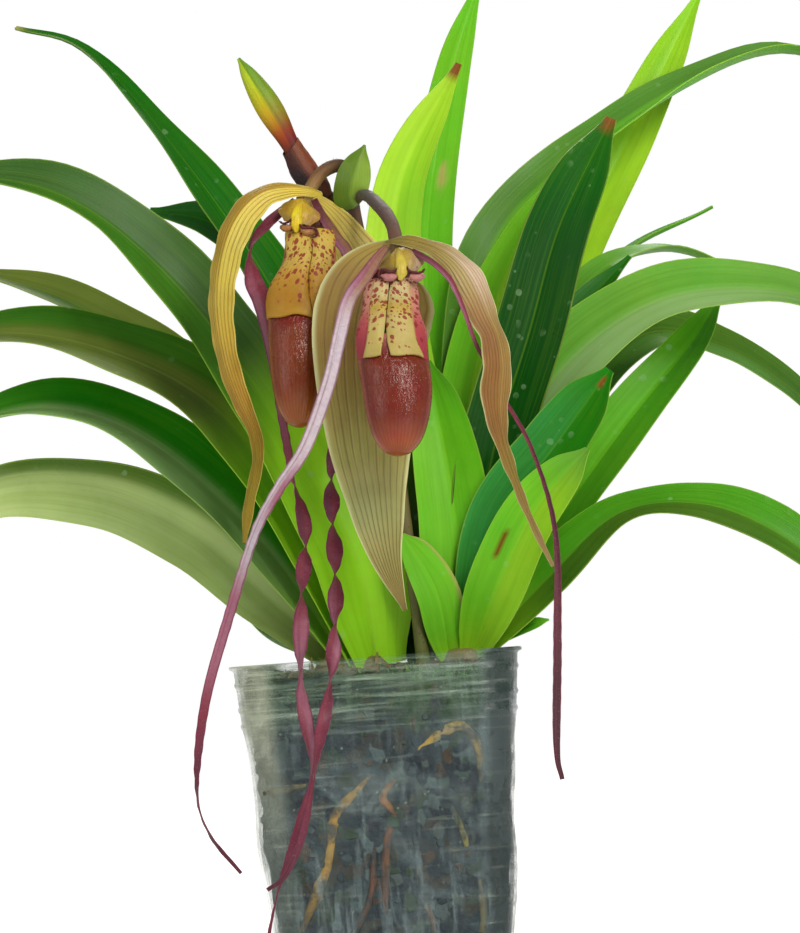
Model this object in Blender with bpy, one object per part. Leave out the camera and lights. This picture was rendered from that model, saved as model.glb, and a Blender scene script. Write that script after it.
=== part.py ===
# A potted slipper orchid: two open blooms, a bud and strap leaves in a square clear nursery pot.
# The plant faces -Y. The origin is the centre of the pot's foot, on the surface it stands on.
# Lengths below are in millimetres; each finished mesh is scaled to metres.

import math

import bmesh
import bpy
from mathutils import Matrix, Vector

MM = 0.001
GAP = 0.3

POT_HEIGHT = 120.0
POT_RIM_WIDTH = 103.0
POT_FOOT_WIDTH = 84.0
POT_WALL = 1.2
POT_FLOOR = 1.6
RIM_LIP = 1.5
RIM_CORNER = 14.0
FOOT_CORNER = 10.0
CORNER_STEPS = 3
RIDGE_HEIGHTS = (113.0, 104.0, 98.0)
RIDGE_PROUD = 0.5
DRAIN_SPACING = 24.0
DRAIN_RADIUS = 4.5

MIX_TOP = 113.0
MIX_AIR = 1.8
MIX_CROWN = 2.0
ROOT_RADIUS = 2.0

LEFT_CROWN = (-9.0, 3.0)
LEFT_CROWN_RADII = (17.0, 11.0)
RIGHT_CROWN = (33.0, -3.0)
RIGHT_CROWN_RADII = (11.5, 14.0)
CROWN_FOOT = 100.0
CROWN_TOP = 123.0
STEM_FOOT = (17.0, -11.0, 102.0)
STEM_RADIUS = 2.6
HOLE_CLEARANCE = 1.2
STEM_HOLE_CLEARANCE = 1.2

LEAF_STATIONS = 13
LEAF_ACROSS = 2
LEAF_THICKNESS = 1.4
LEAF_CREASE = 0.7
RIBBON_THICKNESS = 0.9
CREASE_SOFTNESS = 0.15
EDGE_THINNING = 0.3

FRONT_HUB = (18.6, -104.0, 258.5)
FRONT_LIP_FOOT = (13.6, -116.0, 184.5)
REAR_HUB = (-13.0, -61.0, 284.5)
REAR_LIP_FOOT = (-20.0, -73.0, 200.0)
HUB_RADIUS = 3.0
LIP_LENGTH = 72.0
COLUMN_LENGTH = 15.0

TOWARD_VIEWER = (0.0, -1.0, 0.0)


def clear_scene():
    for item in list(bpy.data.objects):
        bpy.data.objects.remove(item, do_unlink=True)


def material(name, colour, roughness):
    made = bpy.data.materials.new(name)
    made.use_nodes = True
    shader = made.node_tree.nodes["Principled BSDF"]
    shader.inputs["Base Color"].default_value = (*colour, 1.0)
    shader.inputs["Roughness"].default_value = roughness
    shader.inputs["Metallic"].default_value = 0.0
    made.diffuse_color = (*colour, 1.0)
    return made


def add_object(name, body, skin, sharp_degrees=50.0):
    """Turn a closed body in millimetres into a named object in metres."""
    bmesh.ops.triangulate(body, faces=body.faces[:])
    bmesh.ops.recalc_face_normals(body, faces=body.faces[:])
    bmesh.ops.scale(body, vec=(MM, MM, MM), verts=body.verts[:])
    mesh = bpy.data.meshes.new(name)
    body.to_mesh(mesh)
    body.free()
    mesh.materials.append(skin)
    mesh.shade_smooth()
    mesh.set_sharp_from_angle(angle=math.radians(sharp_degrees))
    made = bpy.data.objects.new(name, mesh)
    bpy.context.scene.collection.objects.link(made)
    return made


def boolean(target, operation, tools, solver):
    """Apply one Boolean with a collection of tools, then remove the tools."""
    group = bpy.data.collections.new(target.name + "_tools")
    bpy.context.scene.collection.children.link(group)
    for tool in tools:
        bpy.context.scene.collection.objects.unlink(tool)
        group.objects.link(tool)
    cut = target.modifiers.new(operation.lower(), "BOOLEAN")
    cut.operation = operation
    cut.operand_type = "COLLECTION"
    cut.collection = group
    cut.solver = solver
    seen = target.evaluated_get(bpy.context.evaluated_depsgraph_get())
    old = target.data
    target.data = bpy.data.meshes.new_from_object(seen)
    target.modifiers.clear()
    bpy.data.meshes.remove(old)
    for tool in tools:
        bpy.data.objects.remove(tool, do_unlink=True)
    bpy.data.collections.remove(group)


def fused(name, bodies, skin, sharp_degrees=50.0, solver="MANIFOLD"):
    """Join closed bodies that sink into each other as one solid."""
    pieces = [add_object(f"{name}_{i}", body, skin, sharp_degrees) for i, body in enumerate(bodies)]
    whole = pieces[0]
    whole.name = name
    boolean(whole, "UNION", pieces[1:], solver)
    whole.data.name = name
    return whole


def route_through(points, count, samples=24):
    """Evenly spaced points on a smooth curve that passes through the given points."""
    knots = [Vector(p) for p in points]
    knots = [knots[0] * 2 - knots[1]] + knots + [knots[-1] * 2 - knots[-2]]
    dense = []
    for a, b, c, d in zip(knots, knots[1:], knots[2:], knots[3:]):
        for i in range(samples):
            t = i / samples
            dense.append(0.5 * (2 * b + (c - a) * t + (2 * a - 5 * b + 4 * c - d) * t ** 2
                                + (3 * b - a - 3 * c + d) * t ** 3))
    dense.append(knots[-2])
    walked = [0.0]
    for a, b in zip(dense, dense[1:]):
        walked.append(walked[-1] + (b - a).length)
    route, j = [], 0
    for i in range(count):
        goal = walked[-1] * i / (count - 1)
        while j < len(dense) - 2 and walked[j + 1] < goal:
            j += 1
        part = (goal - walked[j]) / max(walked[j + 1] - walked[j], 1e-9)
        route.append(dense[j].lerp(dense[j + 1], min(part, 1.0)))
    return route


def along(values, t):
    """Read a value at t from a list spread evenly from 0 to 1."""
    place = t * (len(values) - 1)
    i = min(int(place), len(values) - 2)
    part = place - i
    return values[i] * (1 - part) + values[i + 1] * part


def blade(points, half_widths, faces, folds, thickness, stations, across,
          crease=0.0, twists=(0.0, 0.0)):
    """A thin closed blade along a route.

    Its upper face looks along the faces, turned about the route by the twists in degrees, and its
    edges rise towards that side by the folds in degrees, round, or in a crease where crease is 1.
    A box in the blade's own parameters is mapped on the surface, so both faces split alike.
    """
    route = route_through(points, stations)
    body = bmesh.new()
    bmesh.ops.create_grid(body, x_segments=stations - 1, y_segments=across, size=1.0)
    bmesh.ops.triangulate(body, faces=body.faces[:], quad_method="FIXED")
    grown = bmesh.ops.extrude_face_region(body, geom=body.faces[:], use_keep_orig=True)
    top = [item for item in grown["geom"] if isinstance(item, bmesh.types.BMVert)]
    bmesh.ops.translate(body, vec=(0, 0, 1), verts=top)
    for vert in body.verts:
        t = (vert.co.x + 1) / 2
        s = vert.co.y
        i = round(t * (stations - 1))
        tangent = (route[min(i + 1, stations - 1)] - route[max(i - 1, 0)]).normalized()
        look = Vector([along([face[k] for face in faces], t) for k in range(3)])
        look = (look - tangent * look.dot(tangent)).normalized()
        turn = math.radians(along(twists, t))
        side = tangent.cross(look)
        look, side = (look * math.cos(turn) + side * math.sin(turn),
                      side * math.cos(turn) - look * math.sin(turn))
        width = along(half_widths, t)
        fold = math.radians(along(folds, t))
        bend = max(abs(fold), 1e-4)
        sign = 1 if fold >= 0 else -1
        arc_out = width / bend * math.sin(bend * s)
        arc_up = width / bend * (1 - math.cos(bend * s)) * sign
        crease_out = width * s * math.cos(fold)
        reach = math.hypot(s, CREASE_SOFTNESS)
        crease_up = width * (reach - CREASE_SOFTNESS) * math.sin(fold)
        out = arc_out * (1 - crease) + crease_out * crease
        rise = arc_up * (1 - crease) + crease_up * crease
        lean = fold * (s * (1 - crease) + crease * s / reach)
        normal = look * math.cos(lean) - side * math.sin(lean)
        thick = thickness * (1.0 - EDGE_THINNING * s * s)
        vert.co = route[i] + side * out + look * rise - normal * thick * (1 - vert.co.z)
    return body


def ring(centre, side, up, radius_side, radius_up, sides):
    steps = [2 * math.pi * i / sides for i in range(sides)]
    return [centre + side * math.cos(a) * radius_side + up * math.sin(a) * radius_up for a in steps]


def loft(sections):
    """One closed body through rings of points, with a cap at each end."""
    body = bmesh.new()
    rings = [[body.verts.new(point) for point in section] for section in sections]
    sides = len(rings[0])
    for low, high in zip(rings, rings[1:]):
        for i in range(sides):
            j = (i + 1) % sides
            body.faces.new((low[i], low[j], high[j], high[i]))
    body.faces.new(rings[0][::-1])
    body.faces.new(rings[-1])
    return body


def tube(points, radii, stations, sides):
    """A closed round stem along a route, with its radius read from a list."""
    route = route_through(points, stations)
    sections = []
    side = None
    for i, centre in enumerate(route):
        t = i / (stations - 1)
        tangent = (route[min(i + 1, stations - 1)] - route[max(i - 1, 0)]).normalized()
        side = Vector((0, 1, 0)) if side is None else side
        side = (side - tangent * side.dot(tangent)).normalized()
        radius = along(radii, t)
        sections.append(ring(centre, side, tangent.cross(side), radius, radius, sides))
    return loft(sections)


def square_ring(half, corner, height):
    """The outline of a square with round corners, at one height."""
    points = []
    for quarter in range(4):
        start = quarter * math.pi / 2
        cx = (half - corner) * (1 if quarter in (0, 3) else -1)
        cy = (half - corner) * (1 if quarter in (0, 1) else -1)
        for i in range(CORNER_STEPS + 1):
            a = start + math.pi / 2 * i / CORNER_STEPS
            points.append(Vector((cx + corner * math.cos(a), cy + corner * math.sin(a), height)))
    return points


def pot_half(height):
    return (POT_FOOT_WIDTH + (POT_RIM_WIDTH - POT_FOOT_WIDTH) * height / POT_HEIGHT) / 2


def pot_corner(height):
    return FOOT_CORNER + (RIM_CORNER - FOOT_CORNER) * height / POT_HEIGHT


def pot_ring(height, inset):
    return square_ring(pot_half(height) - inset, pot_corner(height) - inset, height)


# The pot: a thin tapered square wall with a small rolled rim, ridges below it and drain holes.
def make_pot(skin):
    outline = [pot_ring(0.0, 1.2), pot_ring(1.2, 0.0)]
    for height in sorted(RIDGE_HEIGHTS):
        outline.append(pot_ring(height - 1.4, 0.0))
        outline.append(pot_ring(height, -RIDGE_PROUD))
        outline.append(pot_ring(height + 1.4, 0.0))
    outline.append(pot_ring(POT_HEIGHT - 1.6, 0.0))
    outline.append(pot_ring(POT_HEIGHT - 1.2, -RIM_LIP))
    outline.append(pot_ring(POT_HEIGHT, -RIM_LIP))
    outline.append(pot_ring(POT_HEIGHT, POT_WALL))
    outline.append(pot_ring(POT_FLOOR, POT_WALL))
    pot = add_object("pot", loft(outline), skin, 30.0)
    drains = []
    for x in (-DRAIN_SPACING, DRAIN_SPACING):
        for y in (-DRAIN_SPACING, DRAIN_SPACING):
            hole = bmesh.new()
            bmesh.ops.create_cone(hole, cap_ends=True, segments=10, radius1=DRAIN_RADIUS,
                                  radius2=DRAIN_RADIUS, depth=4 * POT_FLOOR)
            bmesh.ops.translate(hole, vec=(x, y, 0), verts=hole.verts[:])
            drains.append(add_object("drain", hole, skin))
    boolean(pot, "DIFFERENCE", drains, "EXACT")
    return pot


# The mix: a block that follows the wall, with thick roots standing out from its sides.
WALL_ROOTS = (
    ((-33, 24), (-23, 45), (-19, 60), (-4, 78)),
    ((33, 72), (34, 88), (27, 95), (17, 88)),
    ((-3, 28), (-1, 50), (3, 64)),
)
ROOTS_PER_SIDE = (3, 2, 2, 2)


def mix_half(height):
    return pot_half(height) - POT_WALL - MIX_AIR


def wall_root(points, quarter_turns):
    """A root half sunk in one side of the block, a little inside the pot's wall."""
    placed = []
    for across_wall, height in points:
        out = -(mix_half(height) + MIX_AIR - ROOT_RADIUS - 2 * GAP)
        placed.append(Vector((across_wall, out, height)))
    body = tube(placed, (ROOT_RADIUS * 0.5, ROOT_RADIUS, ROOT_RADIUS, ROOT_RADIUS * 0.6), 7, sides=6)
    turn = Matrix.Rotation(quarter_turns * math.pi / 2, 3, "Z")
    bmesh.ops.rotate(body, cent=(0, 0, 0), matrix=turn, verts=body.verts[:])
    return body


def oval_plug(centre, radii, low, high, sides=20, top_scale=1.0):
    x_axis, y_axis = Vector((1, 0, 0)), Vector((0, 1, 0))
    sections = []
    for height, scale in ((low, 1.0), (high, top_scale)):
        sections.append(ring(Vector((*centre, height)), x_axis, y_axis,
                             radii[0] * scale, radii[1] * scale, sides))
    return loft(sections)


def make_mix(skin):
    foot = POT_FLOOR + GAP
    outline = [square_ring(mix_half(foot), FOOT_CORNER, foot)]
    for height in (30.0, 60.0, 90.0, MIX_TOP):
        outline.append(square_ring(mix_half(height), RIM_CORNER, height))
    outline.append(square_ring(mix_half(MIX_TOP) * 0.6, RIM_CORNER * 0.6, MIX_TOP + MIX_CROWN))
    bodies = [loft(outline)]
    for quarter, count in enumerate(ROOTS_PER_SIDE):
        hand = -1 if quarter % 2 else 1
        for points in WALL_ROOTS[:count]:
            bodies.append(wall_root([(hand * x, z) for x, z in points], quarter))
    mix = fused("potting_mix", bodies, skin, 30.0, "EXACT")
    holes = []
    for centre, radii in ((LEFT_CROWN, LEFT_CROWN_RADII), (RIGHT_CROWN, RIGHT_CROWN_RADII)):
        wide = (radii[0] + HOLE_CLEARANCE, radii[1] + HOLE_CLEARANCE)
        hole = oval_plug(centre, wide, CROWN_FOOT - GAP, MIX_TOP + 3 * MIX_CROWN)
        holes.append(add_object("crown_hole", hole, skin))
    width = STEM_RADIUS + STEM_HOLE_CLEARANCE
    hole = oval_plug(STEM_FOOT[:2], (width, width), STEM_FOOT[2] - 2 * GAP,
                     MIX_TOP + 3 * MIX_CROWN, 12)
    holes.append(add_object("stem_hole", hole, skin))
    boolean(mix, "DIFFERENCE", holes, "EXACT")
    return mix


# The leaves: long folded straps. Each line gives the midrib from the crown out, the greatest
# half width, what the upper face looks at near the foot and near the tip, and the fold there.
LEFT_LEAVES = {
    "high_dark": (((-6, 4, 125), (-11, 12, 205), (-31, 26, 266), (-69, 46, 331), (-100, 62, 371),
                   (-128, 72, 384)), 13, (0.3, -0.9, 0.1), (0.5, -0.7, 0.5), 40, 25),
    "big_channelled": (((-1, -4, 125), (-8, -10, 164), (-34, -14, 218), (-68, -18, 268),
                        (-104, -22, 299), (-150, -20, 312)), 17, (0.3, -0.9, 0.3),
                       (0.3, -0.7, 0.7), 30, 35),
    "short_dark": (((-5, 8, 125), (-11, 20, 211), (-29, 34, 267), (-52, 46, 294), (-78, 58, 303)),
                   10, (0.3, -0.9, 0.2), (0.2, -0.5, 0.9), 30, 25),
    "behind": (((-7, 6, 125), (-25, 16, 181), (-65, 36, 230), (-108, 56, 267), (-155, 72, 288)),
               14, (0.3, -0.9, 0.3), (0.3, -0.6, 0.8), 30, 25),
    "middle": (((-8, -3, 123), (-25, -4, 173), (-54, -2, 218), (-94, 4, 243), (-134, 10, 253),
                (-168, 14, 246)), 17, (0.4, -0.9, 0.3), (0.1, -0.6, 0.8), 25, 25),
    "lower": (((-13, 2, 121), (-40, 6, 167), (-80, 14, 208), (-119, 24, 225), (-165, 34, 220)),
              16, (0.5, -0.8, 0.4), (0.1, -0.6, 0.8), 25, 30),
    "lowest_broad": (((-16, 6, 121), (-42, 14, 148), (-68, 24, 174), (-103, 36, 192),
                      (-143, 46, 196), (-180, 52, 180)), 17, (0.5, -0.9, -0.4),
                     (0.2, -0.9, -0.5), 20, 25),
    "sliver": (((-20, 7, 121), (-38, 18, 131), (-52, 28, 146)), 4.5, (0.5, -0.8, 0.5),
               (0.3, -0.8, 0.5), 25, 20),
}
RIGHT_LEAVES = {
    "small_front": (((27, -10, 120), (25, -17, 139), (20, -19, 152), (13, -21, 164)), 8.5,
                    (0.1, -1.0, 0.1), (0.1, -1.0, 0.2), 20, 15),
    "front": (((31, -6, 122), (33, -12, 153), (32, -14, 183), (27, -14, 228)), 14,
              (0.0, -1.0, 0.1), (0.0, -1.0, 0.1), 20, 20),
    "lime": (((28, 2, 122), (25, 8, 177), (17, 14, 243), (22, 18, 298), (48, 18, 345)), 13,
             (0.0, -1.0, 0.1), (-0.1, -1.0, 0.1), 25, 30),
    "tall": (((32, 5, 122), (29, 22, 197), (31, 38, 280), (45, 50, 345), (60, 56, 386)), 11,
             (-0.1, -1.0, 0.1), (0.2, -1.0, 0.2), 30, 30),
    "dark_tip": (((29, 5, 122), (27, 44, 218), (34, 64, 288), (44, 72, 322)), 9,
                 (-0.1, -1.0, 0.1), (-0.3, -1.0, 0.3), 30, 25),
    "shade": (((25, 4, 122), (20, 2, 170), (16, 0, 206)), 7, (0.3, -1.0, 0.0), (0.3, -1.0, 0.1),
              25, 20),
    "arch": (((33, 4, 122), (39, 15, 196), (54, 26, 269), (89, 36, 306), (135, 48, 335),
              (175, 58, 349), (212, 66, 340)), 13, (0.2, -1.0, 0.3), (-0.2, -0.25, 1.0), 35, 30),
    "back": (((35, 6, 122), (53, 26, 199), (82, 42, 263), (119, 58, 325), (148, 66, 376)), 14,
             (0.0, -1.0, 0.1), (-0.1, -1.0, 0.3), 30, 30),
    "light": (((35, 2, 122), (37, 8, 184), (52, 14, 245), (84, 20, 300)), 13, (0.0, -1.0, 0.1),
              (0.0, -1.0, 0.2), 30, 25),
    "dark_glossy": (((38, -6, 121), (46, -10, 182), (66, -14, 237), (80, -16, 275),
                     (102, -18, 313)), 14, (0.0, -1.0, 0.1), (0.0, -1.0, 0.2), 25, 30),
    "wide_light": (((39, -4, 121), (53, -4, 186), (78, -6, 223), (115, -10, 245), (157, -16, 245),
                    (190, -22, 230)), 15, (-0.2, -1.0, 0.2), (0.0, -0.8, 0.7), 20, 25),
    "arched_behind": (((39, 2, 121), (58, 12, 206), (91, 28, 257), (122, 42, 271), (155, 56, 262)),
                      9, (-0.2, -0.9, 0.4), (0.0, -0.2, 1.0), 25, 20),
    "thin_behind": (((39, 4, 121), (66, 20, 215), (101, 44, 266), (147, 74, 291)), 7,
                    (-0.2, -0.9, 0.3), (-0.2, -0.2, 1.0), 25, 20),
    "dark_behind": (((38, 0, 121), (60, 6, 201), (81, 12, 239), (108, 20, 266)), 9,
                    (-0.2, -1.0, 0.3), (-0.3, -0.9, 0.4), 25, 20),
    "strap": (((41, -2, 121), (66, 0, 159), (98, 4, 198), (127, 10, 229), (141, 14, 248)), 12,
              (-0.3, -0.9, 0.2), (-0.3, -0.9, 0.3), 30, 25),
    "drooping": (((41, 4, 121), (76, 20, 201), (111, 38, 237), (144, 54, 232), (170, 66, 216),
                  (192, 72, 192)), 12, (-0.2, -0.9, 0.4), (0.1, -0.7, 0.7), 25, 20),
    "rounded": (((37, -12, 121), (49, -26, 166), (71, -32, 192), (93, -38, 218)), 12.5,
                (-0.2, -1.0, 0.2), (-0.1, -1.0, 0.2), 20, 25),
    "low_light": (((36, -10, 121), (47, -16, 147), (64, -21, 171), (85, -24, 196)), 12,
                  (-0.3, -1.0, 0.1), (-0.3, -1.0, 0.2), 20, 20),
    "low": (((41, -8, 121), (66, -16, 145), (93, -24, 166), (122, -32, 167), (147, -40, 155),
             (172, -46, 132)), 11.5, (-0.4, -0.9, 0.3), (0.2, -0.8, 0.6), 25, 25),
    "sprout": (((40, -8, 121.5), (52, -13, 126), (64, -20, 129)), 3.0, (0.0, -1.0, 0.3),
               (0.0, -1.0, 0.3), 20, 15),
}
LEAF_OUTLINE = (0.42, 0.66, 0.84, 0.95, 1.0, 1.0, 0.97, 0.9, 0.78, 0.56, 0.1)
CROWN_SINK = 5.0


def leaf(midrib, half_width, face_foot, face_tip, fold_foot, fold_tip):
    foot = Vector(midrib[0])
    sunk = foot - (Vector(midrib[1]) - foot).normalized() * CROWN_SINK
    widths = [half_width * part for part in LEAF_OUTLINE]
    return blade([sunk, *midrib], widths, (face_foot, face_tip), (fold_foot, fold_tip),
                 LEAF_THICKNESS, LEAF_STATIONS, LEAF_ACROSS, crease=LEAF_CREASE)


def make_leaves(name, leaves, crown, radii, skin):
    plug = oval_plug(crown, radii, CROWN_FOOT, CROWN_TOP, 16, 0.8)
    return fused(name, [plug] + [leaf(*shape) for shape in leaves.values()], skin)


# The flowering stem: it stands in the mix between the growths and carries both ovaries.
STEM_JOINT = (4.0, -46.0, 283.0)
STEM_ROUTE = (STEM_FOOT, (17, -12, 124), (15, -14, 160), (12, -20, 205), (8, -33, 250), STEM_JOINT)
BUD_STALK = (STEM_JOINT, (0, -44.2, 283.6), (-2.8, -43.5, 285.4), (-4.8, -43.5, 288.6))
FRONT_OVARY = (STEM_JOINT, (8, -58, 285), (13, -76, 278), (17, -92, 269), FRONT_HUB)
REAR_OVARY = (STEM_JOINT, (5, -46.5, 291), (1.5, -51, 297), (-6, -56, 294.5), REAR_HUB)
STEM_SIDES = 6


def make_stem(skin):
    bodies = [
        tube(STEM_ROUTE, (STEM_RADIUS, 2.5, 2.3, 2.2, 2.4), 14, STEM_SIDES),
        tube(BUD_STALK, (2.2, 2.0, 1.8), 5, STEM_SIDES),
        tube(FRONT_OVARY, (1.5, 1.9, 2.3, 2.4, 2.2), 9, STEM_SIDES),
        tube(REAR_OVARY, (1.5, 1.9, 2.3, 2.4, 2.2), 9, STEM_SIDES),
    ]
    for hub in (FRONT_HUB, REAR_HUB):
        end = bmesh.new()
        bmesh.ops.create_icosphere(end, subdivisions=2, radius=HUB_RADIUS)
        bmesh.ops.translate(end, vec=hub, verts=end.verts[:])
        bodies.append(end)
    return fused("flower_stem", bodies, skin)


GREEN_BRACT = ((2.6, -48.3, 284.4), (-0.3, -52.3, 288.8), (1, -56, 294), (5, -57.5, 299),
               (9.5, -58, 303.5))
BUD_SHEATH = ((-5, -43.5, 289), (-11, -44, 299), (-16, -45, 308.5))
BUD_ROUTE = ((-16.2, -45.0, 309), (-21, -46, 317), (-27, -47, 327), (-33, -48, 338))


def make_bracts_and_bud(bract_skin, sheath_skin, bud_skin):
    bract = blade(GREEN_BRACT, (1.4, 3.5, 5.6, 6.0, 3.6, 0.8), ((0.6, -0.8, 0.0), (0.4, -0.9, 0.0)),
                  (35, 45), 0.9, 9, 2, crease=0.6)
    add_object("green_bract", bract, bract_skin)
    add_object("bud", tube(BUD_ROUTE, (4.1, 4.8, 4.9, 4.6, 3.6, 2.2, 0.6), 10, 8), bud_skin)
    add_object("bud_bract", tube(BUD_SHEATH, (5.2, 5.0, 4.8, 4.3), 6, 8), sheath_skin)


# The blooms. Sepals and petals start a hair's breadth from the end of the ovary, the hub.
BLOOMS = {
    "front": {
        "hub": FRONT_HUB,
        "lip_foot": FRONT_LIP_FOOT,
        "lip_width": 1.0,
        "petal_stations": 38,
        "dorsal": (((21.1, -105.5, 261.6), (29, -108, 260.5), (37, -112, 255.6), (43, -115, 248),
                    (48, -117, 235), (50, -118, 221), (48.5, -117, 207), (48.5, -115, 196),
                    (50, -113, 184), (56, -109, 165), (63.3, -106, 146)),
                   (1.6, 4.8, 4.8, 5.2, 5.2, 6.1, 5.4, 3.3, 2.5, 1.8, 1.5, 0.9),
                   ((0.2, -0.6, 0.8), (0.7, -0.7, 0.3), (0.5, -0.9, 0.0)), (-20, -25)),
        "synsepal": (((18.6, -100.9, 257.1), (15, -97.5, 252), (11.5, -95.5, 241), (8.6, -95, 228),
                      (6.2, -95, 214), (4.8, -95.5, 200), (4.6, -97.5, 180), (6.7, -100, 155),
                      (12.1, -102, 135)),
                     (6.0, 20.0, 23.5, 22.5, 20.0, 18.0, 16.2, 14.6, 12.6, 10.3, 8.3, 5.7, 3.2, 0.8),
                     ((0.0, -0.8, 0.6), (0.0, -1.0, 0.1), (0.0, -1.0, 0.0)), (-20, 14)),
        "petal_left": (((15.0, -106.2, 258.9), (12, -112, 255), (7, -117, 248), (1, -120, 240),
                        (-3, -121, 228), (-8, -121, 212), (-17, -119, 192), (-27, -116, 179),
                        (-36, -114, 165), (-46, -112, 140), (-57, -112, 109), (-62, -112, 80),
                        (-59, -112, 65), (-49, -112, 51)),
                       (1.2, 2.4, 2.4, 2.4, 2.3, 2.2, 2.1, 1.9, 1.7, 1.6, 1.6, 1.2, 0.6),
                       (0, -20, 10, -10, 20, 40, 20, 0, 30, 80, 10)),
        "petal_right": (((22.2, -106.2, 258.6), (29, -106, 251.5), (36, -103.5, 243),
                         (41, -102, 233), (49, -103, 207), (59, -103, 187), (65, -103, 158),
                         (63, -103, 121), (60, -103, 85), (61, -103, 74)),
                        (1.2, 1.4, 1.1, 0.9, 0.8, 0.8, 0.9, 1.2, 1.8, 2.0, 1.8, 0.9),
                        (0, 10, 0, 20, 0, -20, 0)),
    },
    "rear": {
        "hub": REAR_HUB,
        "lip_foot": REAR_LIP_FOOT,
        "lip_width": 0.95,
        "petal_stations": 54,
        "dorsal": (((-16.2, -62.4, 287.0), (-21, -65, 287.5), (-27, -69, 284.8), (-34, -71, 279.5),
                    (-39.5, -72, 272.5), (-43, -72, 264), (-45, -71, 254), (-45, -70, 245),
                    (-44, -69, 235), (-42.5, -68, 225), (-40, -68, 214), (-38.5, -67, 203),
                    (-37.3, -67, 191.4), (-40, -66, 180), (-43, -64, 163.3)),
                   (1.6, 6.2, 5.8, 5.2, 5.4, 5.2, 4.5, 4.3, 4.8, 3.4, 2.3, 2.1, 0.9),
                   ((-0.2, -0.7, 0.7), (-0.5, -0.9, 0.2), (-0.3, -1.0, 0.0)), (25, 30)),
        "synsepal": (((-12.6, -57.7, 283.0), (-6, -55.5, 279.5), (2, -54, 272), (8, -53, 260),
                      (11.5, -53.5, 240), (11, -55, 211), (9, -57, 186), (7, -59, 168)),
                     (1.8, 7.5, 11.0, 13.5, 15.5, 17.0, 17.0, 16.0, 14.0, 11.0, 8.0, 5.0, 2.5, 0.8),
                     ((0.1, -0.8, 0.6), (0.0, -1.0, 0.0), (0.0, -1.0, 0.0)), (-14, 10)),
        "petal_left": (((-16.4, -62.6, 283.9), (-21, -64, 280.5), (-27, -68, 275), (-33, -71, 267),
                        (-33, -70, 256), (-32, -68, 242), (-31, -68, 213), (-28, -70, 195),
                        (-21, -70, 166), (-24, -71, 140), (-26, -73, 110), (-24, -74, 84),
                        (-30, -75, 63), (-39, -77, 42), (-45, -78, 20)),
                       (1.2, 2.0, 2.6, 2.6, 1.8, 2.0, 2.6, 2.4, 2.4, 2.2, 2.0, 1.8, 1.6, 1.2, 0.7),
                       (0, 60, 180, 190, 200, 230, 330, 380, 460, 540, 600, 700, 800, 860)),
        "petal_right": (((-9.6, -63.4, 283.6), (-7, -68, 277), (-3, -70, 269), (1, -70, 262),
                         (2, -68, 246), (-2, -66, 225), (-7, -66, 204), (-11, -70, 174),
                         (-11, -72, 155), (-12, -73, 139), (-14, -75, 122), (-17, -78, 106),
                         (-21, -82, 91), (-28, -85, 63), (-35, -87, 48), (-42, -88, 43)),
                        (1.2, 2.0, 2.2, 2.2, 2.2, 2.4, 2.5, 2.5, 2.4, 2.2, 2.0, 1.6, 1.2, 0.7),
                        (0, 0, 20, 0, 40, 180, 400, 600, 800, 980, 1100, 1180, 1240, 1260)),
    },
}


class LipFrame:
    """Places lip points given as across, forward and down from the hub.

    The column keeps its own length; the lip below it is stretched to reach its foot.
    """

    def __init__(self, hub, foot, width_scale):
        self.hub = Vector(hub)
        down = Vector(foot) - self.hub
        self.stretch = (down.length - COLUMN_LENGTH) / (LIP_LENGTH - COLUMN_LENGTH)
        self.scale = width_scale
        self.down = down.normalized()
        self.forward = Vector(TOWARD_VIEWER) - self.down * Vector(TOWARD_VIEWER).dot(self.down)
        self.forward.normalize()
        self.across = self.forward.cross(self.down)
        if self.across.x < 0:
            self.across.negate()

    def at(self, across, forward, down):
        beside = (self.across * across + self.forward * forward) * self.scale
        below = min(down, COLUMN_LENGTH) + max(down - COLUMN_LENGTH, 0.0) * self.stretch
        return self.hub + beside + self.down * below


POUCH_SECTIONS = (
    (71.6, 0.0, 1.6, 1.6), (70.4, 0.0, 4.6, 4.2), (66.5, 0.2, 8.0, 7.4), (60.0, 0.4, 10.3, 9.6),
    (52.0, 0.5, 11.6, 10.6), (45.0, 0.2, 12.0, 10.6), (40.5, -0.4, 12.0, 9.8),
)
POUCH_CENTRE = 8.0
POUCH_WALL = 0.9
POUCH_SIDES = 12

# The claw is the open gutter behind the lobes: its route, half widths and folds towards them.
CLAW_ROUTE = ((0.4, 3.3), (0.0, 12), (0.2, 26), (-1.0, 45))
CLAW_HALF_WIDTHS = (2.0, 7.0, 10.8, 13.2, 15.5, 19.0, 19.5)
CLAW_FOLDS = (30, 60, 80, 88, 92, 92, 92)

# Each lobe is a folded-in side of the lip: its centre line, half widths and folds back inside.
LOBE_LINES = {
    -1: ((-4.0, 8.6, 15.2), (-4.4, 11.6, 20.5), (-4.9, 14.0, 30), (-6.2, 14.4, 39.8)),
    1: ((4.4, 8.6, 15.2), (4.6, 11.6, 20.5), (4.9, 14.0, 30), (5.4, 14.4, 39.8)),
}
LOBE_HALF_WIDTHS = {-1: (3.6, 4.3, 4.5, 4.9, 4.7, 3.8), 1: (3.6, 4.3, 4.5, 4.9, 5.2, 5.6)}
LOBE_COLLAR = ((-4.5, 9.8, 17.6), (0, 10.4, 17.6), (4.5, 9.8, 17.6))


def pouch_ring(frame, section, inset):
    down, forward, half_across, half_deep = section
    centre = frame.at(0, POUCH_CENTRE + forward, down)
    return ring(centre, frame.across, frame.forward, (half_across - inset) * frame.scale,
                (half_deep - inset) * frame.scale, POUCH_SIDES)


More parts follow.
